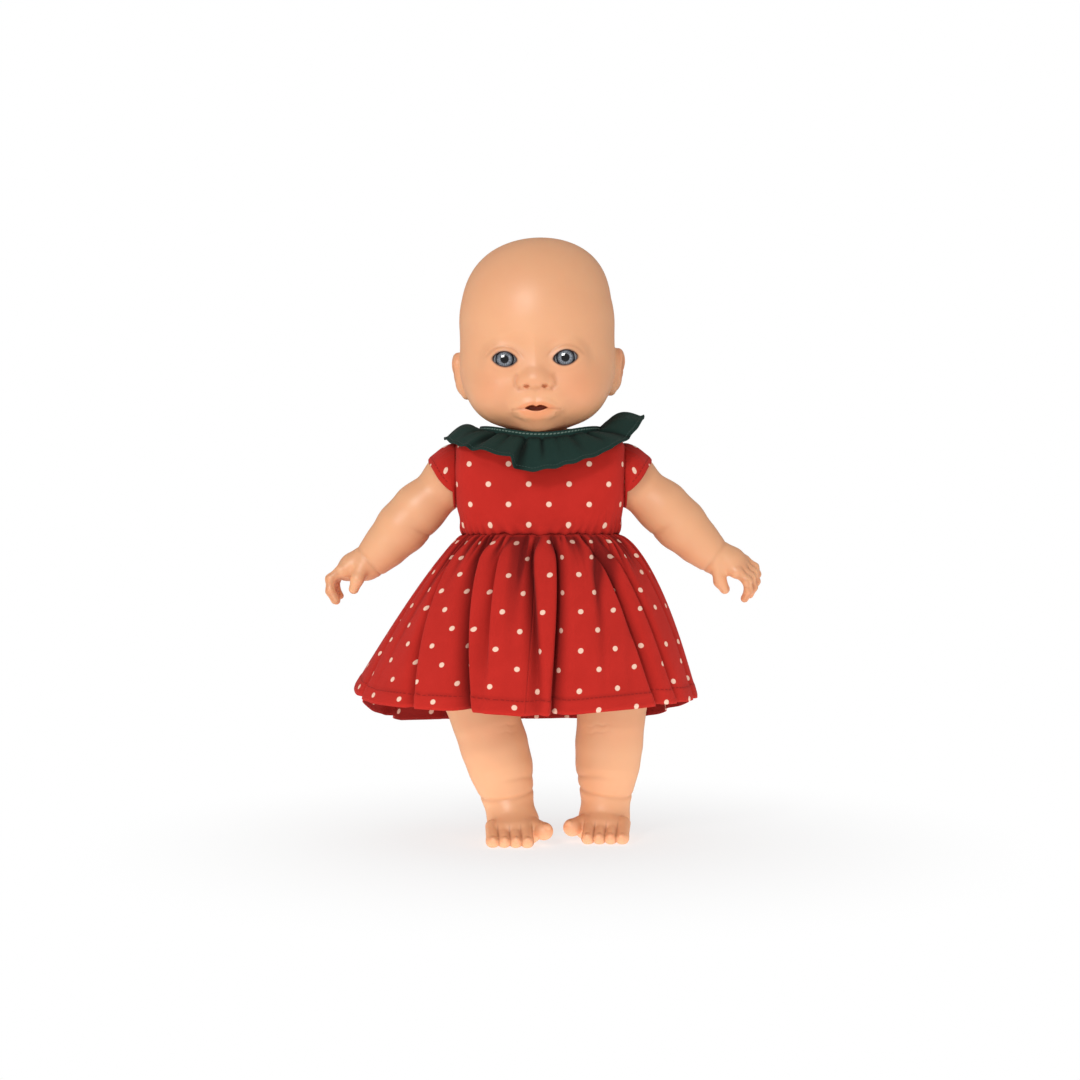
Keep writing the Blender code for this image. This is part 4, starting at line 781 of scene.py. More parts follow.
def head_marks(points):
    """Where the head is blushed, darkened with painted shade in its creases and hollows, dark with a lid line
    round the eyes and painted shade inside their openings, lip-coloured and open at the mouth.
    """
    height, chin = head_measures()
    eyes = settings()[1]
    x, y, z = points.T
    m, rise = np.abs(x), z - chin
    front = step_up(-y, 0.22 * height, 0.30 * height)
    across, up = eye_places(x, z)
    r, ahead = eyes.radius / MM, eyes.setback / MM
    opening = eye_opening(x, z)
    # Painted shade on the inner wall of the eye opening, with the dark lid line round its rim
    deep = step_up(y, -ahead - 1.01 * r, -ahead - 0.90 * r)
    rim = bump(opening, 0.10, 0.70) * front
    lid_line_and_shade = np.clip(rim * 1.15, 0, 1) * step_up(-y, -0.5 + ahead + 0.5 * r, ahead + 0.62 * r)
    fold = bump(np.hypot(across, up + 0.475 * r), 1.215 * r, 0.10 * r) * step_up(up, 0.0, 0.4 * r) * front
    under = bump(np.hypot(across, up - 0.485 * r), 1.22 * r, 0.12 * r) * step_up(-up, 0.1 * r, 0.5 * r) * front
    inner_brow = bump(across, -0.95 * r, 0.40 * r) * bump(up, 0.25 * r, 0.60 * r) * front
    # Painted shade in the lid folds, under the eyes, beside the nose bridge, in the face lines, nostrils and
    # ear bowls
    crease_shade = 0.20 * fold + 0.05 * under + 0.12 * inner_brow
    for line, width, depth, line_shade in face_lines(height, chin):
        crease_shade = crease_shade + line_shade * near_line(m, z, line, width) * front
    crease_shade = crease_shade + 0.24 * step_up(-shared_ball(m, y, rise, *NOSTRIL), -0.35, 0.25)
    crease_shade = crease_shade + 0.40 * step_up(-shared_ball(m, y, rise, *EAR_BOWL), -0.9, 0.3)
    bow = 1 - np.clip(m / (0.122 * height), 0, 1) ** 1.25
    lip_top = chin + height * (0.106 + 0.044 * bow) - 0.009 * height * bump(m, 0, 0.016 * height)
    lip_low = chin + height * (0.106 - 0.050 * np.clip(1 - (m / (0.098 * height)) ** 2, 0, 1))
    lips = (step_up(z, lip_low - 2.8, lip_low + 2.4) * step_up(-z, -lip_top - 0.7, -lip_top + 0.7)
            * step_up(-m, -0.112 * height, -0.070 * height) * front)
    mouth = step_up(-mouth_field(x, y, z), -0.50, 0.10) * front
    cheek = bump(np.hypot(m - 0.215 * height, rise - 0.215 * height), 0, 0.12 * height) * front
    nose = bump(np.hypot(m, rise - 0.245 * height), 0, 0.045 * height) * front
    chin_spot = bump(np.hypot(m, rise - 0.045 * height), 0, 0.05 * height) * front
    ear = step_up(m, 0.400 * height, 0.43 * height) * (
        1 - step_up(z, chin + 0.45 * height, chin + 0.50 * height))
    blush = np.clip(0.40 * cheek + 0.18 * nose + 0.20 * chin_spot + 0.35 * ear, 0, 1)
    return {"blush": blush, "crease_shade": np.clip(crease_shade, 0, 1), "lips": np.clip(lips, 0, 1) * 0.72,
            "lid_line_and_shade": np.maximum(lid_line_and_shade, 0.8 * deep * (opening < 0.3) * front), "mouth": mouth}


def head_turn():
    """The head's slight tilt and turn about the neck, as it is worn in the photograph."""
    vinyl = settings()[0]
    pivot = Matrix.Translation((0, 0, head_measures()[1] - NECK_BELOW_CHIN))
    turn = Matrix.Rotation(vinyl.head_roll, 4, "Y") @ Matrix.Rotation(vinyl.head_yaw, 4, "Z")
    return pivot @ turn @ pivot.inverted()


class DOLL_OT_head(bpy.types.Operator):
    """Moulds the hollow vinyl head: cranium, face, ears and grooved neck"""
    bl_idname = "doll.head"
    bl_label = "Head"

    def execute(self, context):
        height, chin = head_measures()
        half, neck = 0.50 * height, 19
        points, faces = mould(head_field, (-half, -half, chin - neck), (half, half, chin + 1.02 * height),
                              settings()[0].face_grain / MM)

        def face_parts(p):
            m, y, z = np.abs(p[:, 0]), p[:, 1], p[:, 2] - chin
            front = y < -0.24 * height
            eye = (np.abs(m - 0.150 * height) < 0.115 * height) & (np.abs(z - 0.36 * height) < 0.085 * height)
            mouth = (m < 0.135 * height) & (z > 0.035 * height) & (z < 0.30 * height)
            ear = (m > 0.41 * height) & (z < 0.48 * height)
            return (front & (eye | mouth)) | ear
        points, faces = refine(points, faces, face_parts, 1)
        points = settle_on(head_field, points)
        head = mesh_object("vinyl_head", moved(points, head_turn()), faces, head_marks(points))
        finish_piece(head, skin_material(), "head", "skin_vinyl", "head_shell")
        return {"FINISHED"}


def eye_material():
    """Clear acrylic over a grey white with faint veins, a fibrous iris with a dark rim, and the pupil; painted
    shade of the lids darkens the white towards the corners.
    """
    eyes = settings()[1]
    mat, tree, shader = new_material("Eye acrylic", 0.12, Coat_Weight=1.0, Coat_Roughness=0.02,
                                     Coat_IOR=1.75, Specular_IOR_Level=0.10)
    flat = mark(tree, "iris_place", "Vector")
    far = vector_maths(tree, "LENGTH", flat)
    way = vector_maths(tree, "SCALE", vector_maths(tree, "NORMALIZE", flat), scale=7.0)
    iris, pupil = eyes.iris_radius / MM, eyes.pupil_radius / MM
    depth = combine(tree, 0.0, 0.0, maths(tree, "MULTIPLY", far, 0.25))
    spokes = noise(tree, vector_maths(tree, "ADD", way, depth), 2.2, 4.0, 0.7)
    fibres = between(tree, spokes, 0.42, 0.66)
    inner = between(tree, far, pupil * 1.25, iris * 0.92, 1.0, 0.25)
    tone = mix_colour(tree, maths(tree, "MULTIPLY", fibres, inner), eyes.iris, eyes.iris_light)
    dark_rim = between(tree, far, iris * 0.70, iris * 0.90)
    tone = mix_colour(tree, maths(tree, "MULTIPLY", dark_rim, 0.97), tone, (0.018, 0.020, 0.026))
    in_pupil = between(tree, far, pupil * 0.93, pupil * 1.12, 1.0, 0.0)
    tone = mix_colour(tree, in_pupil, tone, (0.004, 0.004, 0.005))
    veins = between(tree, noise(tree, place_on(tree), 420.0, 4.0), 0.58, 0.75, 0.0, 0.12)
    white = mix_colour(tree, veins, eyes.white, (0.60, 0.30, 0.24))
    tone = mix_colour(tree, between(tree, far, iris * 0.97, iris * 1.05), tone, white)
    # Painted shade of the lids, darker on the white towards the corners
    corner_shade = between(tree, far, iris * 1.12, iris * 1.45, 0.0, 0.75)
    tone = mix_colour(tree, corner_shade, tone, (0.075, 0.040, 0.034))
    wire(tree, tone, shader.inputs["Base Color"])
    bump_into(tree, shader, spokes, 0.08, 0.0001)
    return mat


class DOLL_OT_eyes(bpy.types.Operator):
    """Makes the fixed eyes: white, fibrous iris, pupil and clear front"""
    bl_idname = "doll.eyes"
    bl_label = "Eyes"

    def execute(self, context):
        eyes = settings()[1]
        mat = eye_material()
        r, iris, bulge = eyes.radius / MM, eyes.iris_radius / MM, eyes.cornea / MM
        level = head_measures()[1] + eyes.rise / MM
        rings, segments, behind = 44, 64, 30
        for side, word in SIDES:
            centre = np.array([side * eyes.spacing / MM / 2, -eyes.setback / MM, level])
            points, places = [centre + [0, -(r + bulge), 0]], [(0, 0, 0)]
            for ring in range(1, rings):
                turn = math.pi * (ring / rings) ** 1.35
                front = turn < math.pi / 2
                swell = bulge * math.exp(-(math.sin(turn) * r / iris) ** 4) if front else 0
                for k in range(segments):
                    a = 2 * math.pi * k / segments
                    out = np.array([math.cos(a) * math.sin(turn), -math.cos(turn),
                                    math.sin(a) * math.sin(turn)])
                    points.append(centre + out * (r + swell))
                    places.append((out[0] * r, out[2] * r, 0 if front else behind))
            points.append(centre + [0, r, 0])
            places.append((0, 0, behind))
            faces = fan(0, 1, segments, turned=True) + ring_faces(rings - 1, segments, first=1)
            faces += fan(len(points) - 1, 1 + (rings - 2) * segments, segments)
            eye = mesh_object(f"{word}_eye", moved(np.array(points), head_turn()), faces,
                              {"iris_place": places})
            fix_normals(eye)
            finish_piece(eye, mat, "head", "iris", f"{word}_eye_white", f"{word}_iris", f"{word}_eye_dome")
        return {"FINISHED"}


# Arms

# Along the arm as a share of its length, then raised and radius as shares of its root radius.
ARM_STATIONS = [
    (0.090, 0.147, 0.830), (0.270, 0.220, 0.900), (0.405, 0.193, 0.900), (0.540, 0.167, 0.745),
    (0.630, 0.173, 0.590), (0.690, 0.200, 0.535),
]
# Where the elbow's and the wrist's creases lie, as shares of the arm's length
ELBOW, WRIST = 0.36, 0.655
# From the first finger: share of the full length, radius in millimetres, curl of the left and the right hand
FINGERS = [(0.93, 2.85, 1.0, 1.15), (1.0, 2.85, 0.95, 0.98), (0.95, 2.75, 0.85, 0.92), (0.80, 2.45, 0.70, 0.86)]
# Joints of a straight finger along and above the arm's line, as shares of its length
FINGER_JOINTS = [(0.795, 0.098), (0.868, 0.104), (0.915, 0.066), (0.932, 0.012)]


def arm_pose(side):
    vinyl = settings()[0]
    drop = vinyl.arm_drop - (vinyl.left_arm_lift if side > 0 else 0)
    shoulder = Matrix.Translation((side * HALF_WIDTH, MIDDLE_Y, TRUNK_HIGH))
    return shoulder @ Matrix.Rotation(side * drop, 4, "Y") @ Matrix.Diagonal((side, 1, 1, 1))


def hand_places(x, y, z, side):
    """The same points, turned back about the wrist's line by the hand's twist."""
    vinyl = settings()[0]
    twist = vinyl.left_hand_turn if side > 0 else vinyl.right_hand_turn
    long = vinyl.arm_length / MM
    turn = twist * step_up(x, 0.58 * long, 0.76 * long)
    mid = 0.055 * long
    c, s = np.cos(turn), np.sin(turn)
    return x, y * c + (z - mid) * s, mid + (z - mid) * c - y * s


def finger_bones(side):
    """Each finger's joints in millimetres and its radius."""
    long = settings()[0].arm_length / MM
    root_reach, root_rise = FINGER_JOINTS[0]
    bones = []
    for finger, (short, radius, left_curl, right_curl) in enumerate(FINGERS):
        off = (finger - 1.5) * 4.9
        curl = left_curl if side > 0 else right_curl
        joints = []
        for reach, rise in FINGER_JOINTS:
            beyond = (reach - root_reach) * short
            up = root_rise + (rise - root_rise) * curl
            joints.append((long * (root_reach + beyond), off * (1 + 1.5 * beyond), long * up))
        bones.append((joints, radius))
    return bones


def arm_field(side):
    vinyl = settings()[0]
    long, root = vinyl.arm_length / MM, vinyl.arm_radius / MM
    pose = arm_pose(side)
    stations = [((long * a, 0, root * u), root * r) for a, u, r in ARM_STATIONS]
    to_local = np.array(pose.inverted())
    shoulder = np.array([side * HALF_WIDTH + side * root * 0.25, MIDDLE_Y, TRUNK_HIGH])
    ball_at = to_local[:3, :3] @ shoulder + to_local[:3, 3]
    m = np.array(pose)

    def field(x, y, z):
        d = ball_field(x, y, z, ball_at, (root * 0.97,) * 3)
        for (a, ra), (b, rb) in zip(stations, stations[1:]):
            d = join(d, bone_field(x, y, z, a, b, ra, rb), 5.0)
        # Creases round the inner elbow and the wrist
        elbow = bump(x - 0.25 * z, ELBOW * long, 1.3) * step_up(-z, -3.0, 9.0)
        fold = bump(x + 0.10 * z, WRIST * long, 1.0)
        d = d + 0.50 * elbow + 0.45 * fold
        hx, hy, hz = hand_places(x, y, z, side)

        def hand_bone(a, b, ra, rb):
            return bone_field(hx, hy, hz, (a[0] * long, a[1], a[2] * long), (b[0] * long, b[1], b[2] * long),
                              ra, rb)

        palm = ball_field(hx, hy, hz, (0.742 * long, 0, 0.082 * long), (0.090 * long, 9.8, 0.060 * long))
        hand = join(palm, hand_bone((0.675, 0.0, 0.040), (0.735, 0.0, 0.070), 8.6, 7.6), 4.0)
        knuckles = hand_bone((0.792, -7.2, 0.090), (0.788, 7.0, 0.090), 3.6, 3.2)
        hand = join(hand, knuckles, 3.0)
        fingers = None
        for joints, radius in finger_bones(side):
            one = None
            for step, (a, b) in enumerate(zip(joints, joints[1:])):
                thin = radius * (1.08 - 0.09 * step)
                bone = bone_field(hx, hy, hz, a, b, thin, thin * 0.92)
                one = bone if one is None else join(one, bone, 1.6)
            fingers = one if fingers is None else join(fingers, one, 0.55)
        hand = join(hand, fingers, 1.5)
        thumb_root = hand_bone((0.700, -7.2, 0.030), (0.762, -10.4, -0.004), 4.6, 3.7)
        thumb_tip = hand_bone((0.762, -10.4, -0.004), (0.812, -9.6, -0.026), 3.7, 3.0)
        hand = join(hand, join(thumb_root, thumb_tip, 2.0), 2.4)
        d = join(d, hand, 3.0)
        # Flat seat against the body
        world_x = side * (m[0, 0] * x + m[0, 1] * y + m[0, 2] * z + m[0, 3])
        return cut(d, world_x - 49.6, 0.8)
    return field


def limb_marks(points, crease_shade, blush):
    """A limb's blush and the painted shade in its creases, and nothing for the marks that only the face has."""
    zero = np.zeros(len(points))
    return {"blush": np.clip(blush, 0, 1), "crease_shade": np.clip(crease_shade, 0, 1),
            "lips": zero, "lid_line_and_shade": zero, "mouth": zero}


class DOLL_OT_arms(bpy.types.Operator):
    """Moulds both arms with their curled hands and creased wrists"""
    bl_idname = "doll.arms"
    bl_label = "Arms"

    def execute(self, context):
        vinyl = settings()[0]
        long = vinyl.arm_length / MM
        for side, word in SIDES:
            field = arm_field(side)
            points, faces = mould(field, (-18, -22, -26), (long * 1.02, 22, 28), vinyl.limb_grain / MM)
            points, faces = refine(points, faces, lambda p: p[:, 0] > 0.63 * long, 1)
            points = settle_on(field, points)
            x, y, z = points.T
            # Painted shade in the elbow and wrist creases and between the fingers
            crease_shade = (0.12 * bump(x - 0.25 * z, ELBOW * long, 1.8) * step_up(-z, -3.0, 9.0)
                      + 0.13 * bump(x + 0.10 * z, WRIST * long, 1.3))
            hx, hy, hz = hand_places(x, y, z, side)
            tips = step_up(x, 0.86 * long, 0.93 * long)
            for joints, radius in finger_bones(side):
                between_fingers = bump(hy, joints[1][1] - 2.6, 0.55) * step_up(x, 0.79 * long, 0.82 * long)
                crease_shade = crease_shade + 0.35 * between_fingers
            knuckle = bump(x, 0.80 * long, 4.0) * step_up(hz, 0.10 * long, 0.13 * long)
            marks = limb_marks(points, crease_shade, 0.35 * tips + 0.25 * knuckle)
            arm = mesh_object(f"{word}_vinyl_arm", moved(points, arm_pose(side)), faces, marks)
            if side < 0:
                arm.data.flip_normals()
            finish_piece(arm, skin_material(), f"{word}_arm", "skin_vinyl", f"{word}_arm")
        return {"FINISHED"}


# Legs

# Height, radius and bulge forward as shares of the hip's height, from hip to ankle.
LEG_STATIONS = [
    (1.000, 0.148, 0.000), (0.840, 0.160, 0.012), (0.680, 0.160, 0.020), (0.560, 0.150, 0.018),
    (0.440, 0.150, -0.002), (0.330, 0.141, -0.010), (0.235, 0.116, -0.006), (0.170, 0.112, 0.000),
]
# Side, hip across, ankle across, ankle forward, turn of the foot in degrees.
LEG_STANCES = {"left": (1, 0.352, 0.306, 0.045, 10), "right": (-1, 0.340, 0.128, -0.050, 6)}
# Size of the foot as shares of the hip's height
FOOT_LONG, FOOT_WIDE, FOOT_HIGH = 0.344, 0.258, 0.172
# Shares of the foot's width: the small toes' outer place and spacing, and the toes' radii
TOE_START, TOE_SPACING, TOE_RADIUS, BIG_TOE_RADIUS = 0.42, 0.200, 0.118, 0.160


def leg_field(word):
    side, hip_share, ankle_share, forward, toe_in = LEG_STANCES[word]
    hip_z = settings()[0].hip_height / MM
    hip = np.array([side * hip_z * hip_share, MIDDLE_Y, hip_z])
    ankle = np.array([side * hip_z * ankle_share, hip_z * forward, 0.0])
    bones = []
    for height, radius, bulge in LEG_STATIONS:
        low = 1 - height
        bow = low * low * (3 - 2 * low)
        bones.append(((hip[0] + (ankle[0] - hip[0]) * bow, hip[1] + (ankle[1] - hip[1]) * low - hip_z * bulge,
                       hip_z * height), hip_z * radius))
    foot_long, foot_wide, foot_high = hip_z * FOOT_LONG, hip_z * FOOT_WIDE, hip_z * FOOT_HIGH
    toe, big, spacing = foot_wide * TOE_RADIUS, foot_wide * BIG_TOE_RADIUS, foot_wide * TOE_SPACING
    turn = -side * math.radians(toe_in)
    c, s = math.cos(turn), math.sin(turn)
    seat_x, seat_radius = HIP_X + 0.9, 27.5

    def local(x, y):
        """Across and along the foot, from the ankle."""
        a, b = x - ankle[0], y - ankle[1]
        return side * (a * c + b * s), -a * s + b * c

    def toes(fx, fy, z):
        """The skin of the four small toes and the big one, and their nails."""
        out, nails = None, None
        for number in range(4):
            across = foot_wide * TOE_START - spacing * number
            reach = -foot_long * (0.57 + 0.025 * number)
            stem = bone_field(fx, fy, z, (across * 0.97, reach + foot_long * 0.24, toe * 2.75),
                              (across, reach + 1.5, toe * 1.40), toe * 1.02, toe * 0.98)
            end = ball_field(fx, fy, z, (across, reach - 0.2, toe * 0.95), (toe * 1.06, toe * 1.25, toe * 1.02))
            one = join(stem, end, 1.0)
            out = one if out is None else join(out, one, 0.30)
            nail = ball_field(fx, fy, z, (across, reach - toe * 0.75, toe * 1.35),
                              (toe * 0.55, toe * 0.62, toe * 0.50))
            nails = nail if nails is None else np.minimum(nails, nail)
        root = (-foot_wide * 0.33, -foot_long * 0.30, big * 1.75)
        tip = (-foot_wide * 0.50, -foot_long * 0.49, big * 1.60)
        one = join(bone_field(fx, fy, z, root, tip, big * 1.15, big * 0.92),
                   ball_field(fx, fy, z, tip, (big * 1.02, big * 1.06, big * 0.98)), 1.0)
        nail = ball_field(fx, fy, z, (tip[0] - big * 0.25, tip[1] - big * 0.55, tip[2] + big * 0.55),
                          (big * 0.5, big * 0.5, big * 0.42))
        return join(out, one, 0.5), np.minimum(nails, nail)

    def creases(x, y, z):
        fx, fy = local(x, y)
        front = step_up(-fy, -14.0, 4.0)
        lines = (bump(z + 0.12 * fx + 0.012 * fx * fx, 0.298 * hip_z, 1.5) * 0.62 * step_up(-fx, -12.0, 6.0)
                 + bump(z + 0.16 * fx - 0.12 * fy, 0.220 * hip_z, 1.3) * 0.85)
        bent = z - 0.12 * fx + 0.012 * fx * fx + 0.5 * np.sin(0.9 * fx)
        knee = bump(bent, 0.545 * hip_z, 0.8) + 0.8 * bump(bent, 0.512 * hip_z, 0.7)
        knee = 0.26 * knee + 0.16 * bump(bent, 0.53 * hip_z, 5.0)
        knee = knee * step_up(-fy, 4.0, 14.0) * bump(fx, 0.0, 8.0)
        return lines * front + knee

    def field(x, y, z):
        d = None
        for (a, ra), (b, rb) in zip(bones, bones[1:]):
            one = bone_field(x, y, z, a, b, ra, rb)
            d = one if d is None else join(d, one, 5.0)
        fx, fy = local(x, y)

        def foot_ball(ahead, up, wide, long, high):
            return ball_field(fx, fy, z, (0, foot_long * ahead, foot_high * up),
                              (foot_wide * wide, foot_long * long, foot_high * high))

        heel, instep = foot_ball(0.13, 0.44, 0.42, 0.30, 0.54), foot_ball(-0.08, 0.53, 0.47, 0.34, 0.60)
        foot = join(join(heel, instep, 3.5), foot_ball(-0.34, 0.33, 0.50, 0.215, 0.42), 3.0)
        toe_skin, nails = toes(fx, fy, z)
        foot = join(foot, toe_skin, 1.1)
        d = join(d, foot, 4.0)
        d = d + 0.9 * creases(x, y, z)
        d = join(d, nails, 0.25)
        d = cut(d, z, 0.9)
        seat = np.maximum(side * x - seat_x, np.hypot(y - MIDDLE_Y, z - hip_z) - seat_radius)
        return cut(d, seat, 0.8)
    return field, local, creases, toes, hip_z


class DOLL_OT_legs(bpy.types.Operator):
    """Moulds both legs with knee and ankle creases and bare feet"""
    bl_idname = "doll.legs"
    bl_label = "Legs"

    def execute(self, context):
        vinyl = settings()[0]
        for side, word in SIDES:
            field, local, creases, toes, hip_z = leg_field(word)
            low = (12, -46, -1) if side > 0 else (-68, -46, -1)
            high = (70, 36, 152) if side > 0 else (12, 36, 152)
            points, faces = mould(field, low, high, vinyl.limb_grain / MM)
            points, faces = refine(points, faces, lambda p: (p[:, 2] < 0.16 * hip_z) & (p[:, 1] < -8), 1)
            points = settle_on(field, points)
            x, y, z = points.T
            fx, fy = local(x, y)
            nails = toes(fx, fy, z)[1]
            # Painted shade: dark lines between the toes, with the painted shade of the knee and ankle creases
            # and a faint tint on the nails
            gap = np.zeros(len(points))
            foot_wide, foot_long = hip_z * FOOT_WIDE, hip_z * FOOT_LONG
            toes_only, low_down = step_up(-fy, foot_long * 0.40, foot_long * 0.48), step_up(-z, -14, -10)
            for number in range(4):
                middle = foot_wide * TOE_START - foot_wide * TOE_SPACING * (number + 0.5)
                gap = gap + bump(fx, middle, 0.5) * toes_only * low_down
            crease_shade = 0.22 * creases(x, y, z) + 0.60 * gap
            sole = step_up(-z, -2.0, 0.0)
            tips = step_up(-fy, foot_long * 0.50, foot_long * 0.62)
            knee = bump(z, 0.52 * hip_z, 9.0) * step_up(-fy, 2.0, 14.0)
            nail_tint = 0.3 * step_up(-nails, -0.4, 0.2)
            leg = mesh_object(f"{word}_vinyl_leg", points, faces,
                              limb_marks(points, crease_shade + nail_tint * 0.3,
                                         0.15 * tips + 0.20 * sole + 0.22 * knee))
            finish_piece(leg, skin_material(), f"{word}_leg", "skin_vinyl", f"{word}_leg")
        return {"FINISHED"}


# Cloth kit

# Body sections from the crotch to the neck: height over the trunk's height, width, depth, squareness.
BODY_SECTIONS = [
    (0.000, 0.20, 0.22, 2.0), (0.030, 0.42, 0.46, 2.6), (0.095, 0.490, 0.60, 3.4), (0.200, 0.500, 0.68, 3.8),
    (0.310, 0.500, 0.76, 3.6), (0.385, 0.540, 0.84, 2.6), (0.455, 0.700, 0.92, 2.3),
    (0.560, 0.845, 0.97, 2.3),
    (0.706, 0.905, 0.97, 2.4), (0.830, 0.980, 0.985, 3.4), (1.000, 1.0, 1.0, 4.6), (1.110, 1.0, 0.985, 4.4),
    (1.165, 0.985, 0.95, 3.6), (1.196, 0.900, 0.86, 2.6), (1.208, 0.740, 0.74, 2.2),
    (1.200, 0.560, 0.62, 2.0),
]
BODICE_TOP = [(1.165, 0.992, 1.00, 3.4), (1.202, 0.900, 0.985, 2.6)]


def section(row, grow, angles):
    height, width, depth, square = row
    z = TRUNK_LOW + (TRUNK_HIGH - TRUNK_LOW) * height
    z += grow if height > 1.15 else (-grow if height < 0.05 else 0)
    c, s = np.cos(angles), np.sin(angles)
    x = (HALF_WIDTH * width + grow) * np.sign(c) * np.abs(c) ** (2 / square)
    y = MIDDLE_Y + (HALF_DEPTH * depth + grow) * np.sign(s) * np.abs(s) ** (2 / square)
    dip = (NECK_SIDE_Z - NECK_FRONT_Z) * np.maximum(0, -s) ** 4 * min(max((height - 1.0) / 0.21, 0), 1)
    return np.stack([x, y, z - dip], 1)


def neckline_height(angles):
    front = np.maximum(0, -np.sin(angles))
    return NECK_SIDE_Z + (NECK_FRONT_Z - NECK_SIDE_Z) * front ** 4


def neckline(grow, rise, angles):
    return np.stack([(NECK_HALF + grow) * np.cos(angles), MIDDLE_Y + (NECK_HALF + grow) * np.sin(angles),
                     neckline_height(angles) + rise], 1)


def smooth_rows(loops, per_gap):
    """More rings between the given ones, on a smooth curve through them."""
    loops = np.array(loops)
    out = []
    for i in range(len(loops) - 1):
        a, b, c, d = loops[max(i - 1, 0)], loops[i], loops[i + 1], loops[min(i + 2, len(loops) - 1)]
        for step in range(per_gap):
            t = step / per_gap
            line = 2 * b + (c - a) * t
            curve = line + (2 * a - 5 * b + 4 * c - d) * t * t + (3 * b - a - 3 * c + d) * t ** 3
            out.append(0.5 * curve)
    out.append(loops[-1])
    return np.array(out)


def outward(grid, closed=True):
    """Unit directions square to a grid of rings, or of rows when it isn't closed."""
    round_way = np.roll(grid, -1, 1) - np.roll(grid, 1, 1) if closed else np.gradient(grid, axis=1)
    up_way = np.gradient(grid, axis=0)
    normal = np.cross(round_way, up_way)
    return normal / np.maximum(np.linalg.norm(normal, axis=2, keepdims=True), 1e-9)


def run_along(grid, axis):
    """Length run along the grid's rows or rings, in millimetres."""
    gaps = np.linalg.norm(np.diff(grid, axis=axis), axis=2)
    start = np.zeros_like(np.take(gaps, [0], axis))
    return np.concatenate([start, np.cumsum(gaps, axis)], axis)


def thicken(obj, thickness, offset=-1.0, inside=0.0):
    """Gives the sheet its thickness and applies it; the inner face gets painted shade by the given share."""
    outer = len(obj.data.vertices)
    solid = obj.modifiers.new("cloth thickness", "SOLIDIFY")
    solid.thickness = thickness
    solid.offset = offset
    solid.use_even_offset = False
    graph = bpy.context.evaluated_depsgraph_get()
    mesh = bpy.data.meshes.new_from_object(obj.evaluated_get(graph))
    old = obj.data
    obj.modifiers.clear()
    obj.data = mesh
    bpy.data.meshes.remove(old)
    mesh.name = obj.name
    if inside:
        shade = mesh.attributes["fold"].data
        for vertex in range(outer, len(mesh.vertices)):
            shade[vertex].value = max(shade[vertex].value, inside)


def sheet_object(name, grid, faces, places, fold, edge):
    """A sheet with its flat places, its painted shade in the folds and seams, and its distance from the edge.
    """
    marks = {"cut_place": places.reshape(-1, 3), "fold": fold.ravel(), "edge": edge.ravel()}
    return mesh_object(name, grid.reshape(-1, 3), faces, marks)


# Cotton materials

def cotton_material(name, tone, deep, thread, stitch_row, dotted=False, threads=2.2):
    """Woven cotton with a row of stitches, painted shade in the folds and pale wear, and dots where asked for.
    The row is given by its distance from the edge, the stitches' pitch and their half width."""
    mat = bpy.data.materials.get(name)
    if mat:
        return mat
    dress = settings()[2]
    mat, tree, shader = new_material(name, 0.86, Sheen_Weight=0.04, Sheen_Roughness=0.45,
                                     Specular_IOR_Level=0.12, Sheen_Tint=(1.0, 0.80, 0.76))
    place, fold = mark(tree, "cut_place", "Vector"), mark(tree, "fold")
    weave = use_group(tree, weave_group(), Place=place, Threads=threads)
    shade = maths(tree, "MULTIPLY_ADD", weave.outputs["Shade"], -0.22, 0.20, clamp=True)
    base = mix_colour(tree, shade, tone, deep)
    wear = maths(tree, "MULTIPLY", weave.outputs["Wear"], 0.10)
    base = mix_colour(tree, wear, base, [min(1, c * 1.6 + 0.01) for c in tone])
    # Painted shade: the fold mark darkens the cloth to its deep colour in folds, seams and hollows
    base = mix_colour(tree, maths(tree, "MULTIPLY", fold, 0.90, clamp=True), base, deep)
    if dotted:
        spots = use_group(tree, dots_group(), Place=place, Spacing=dress.dot_spacing / MM,
                          Size=dress.dot_size / MM)
        # The dots fade where the painted shade of the folds is deep
        strength = maths(tree, "MULTIPLY_ADD", fold, -0.45, 0.95)
        base = mix_colour(tree, maths(tree, "MULTIPLY", spots.outputs["Dot"], strength), base, dress.dots)
    row, pitch, width = stitch_row
    stitches = use_group(tree, stitch_group(), Along=split(tree, place)[0], Across=mark(tree, "edge"),
                         Row=row, Pitch=pitch, Width=width)
    base = mix_colour(tree, maths(tree, "MULTIPLY", stitches.outputs["Thread"], 0.85), base, thread)
    height = maths(tree, "MULTIPLY_ADD", stitches.outputs["Height"], 1.6, weave.outputs["Height"])
    wire(tree, base, shader.inputs["Base Color"])
    rough = between(tree, weave.outputs["Shade"], 0.2, 0.9, 0.92, 0.78)
    wire(tree, rough, shader.inputs["Roughness"])
    bump_into(tree, shader, height, 0.45, 0.00022)
    return mat


def red_material():
    dress = settings()[2]
    return cotton_material("Red dotted cotton", dress.red, dress.red_fold_shade, (0.30, 0.013, 0.010),
                           (dress.hem_turn / MM, 2.6, 0.24), dotted=True)


def green_material():
    tone = settings()[2].green
    return cotton_material("Green cotton", tone, [c * 0.22 for c in tone], (0.045, 0.085, 0.075),
                           (2.2, 1.9, 0.20))


def band_material():
    dress = settings()[2]
    return cotton_material("Stitched green band", dress.green, [c * 0.5 for c in dress.green], dress.thread,
                           (3.4, 2.3, 0.28))


def body_material():
    tone = settings()[2].body
    return cotton_material("Body cloth", tone, [c * 0.6 for c in tone], (0.70, 0.50, 0.36), (1.6, 2.4, 0.25),
                           threads=2.6)


# Cloth body

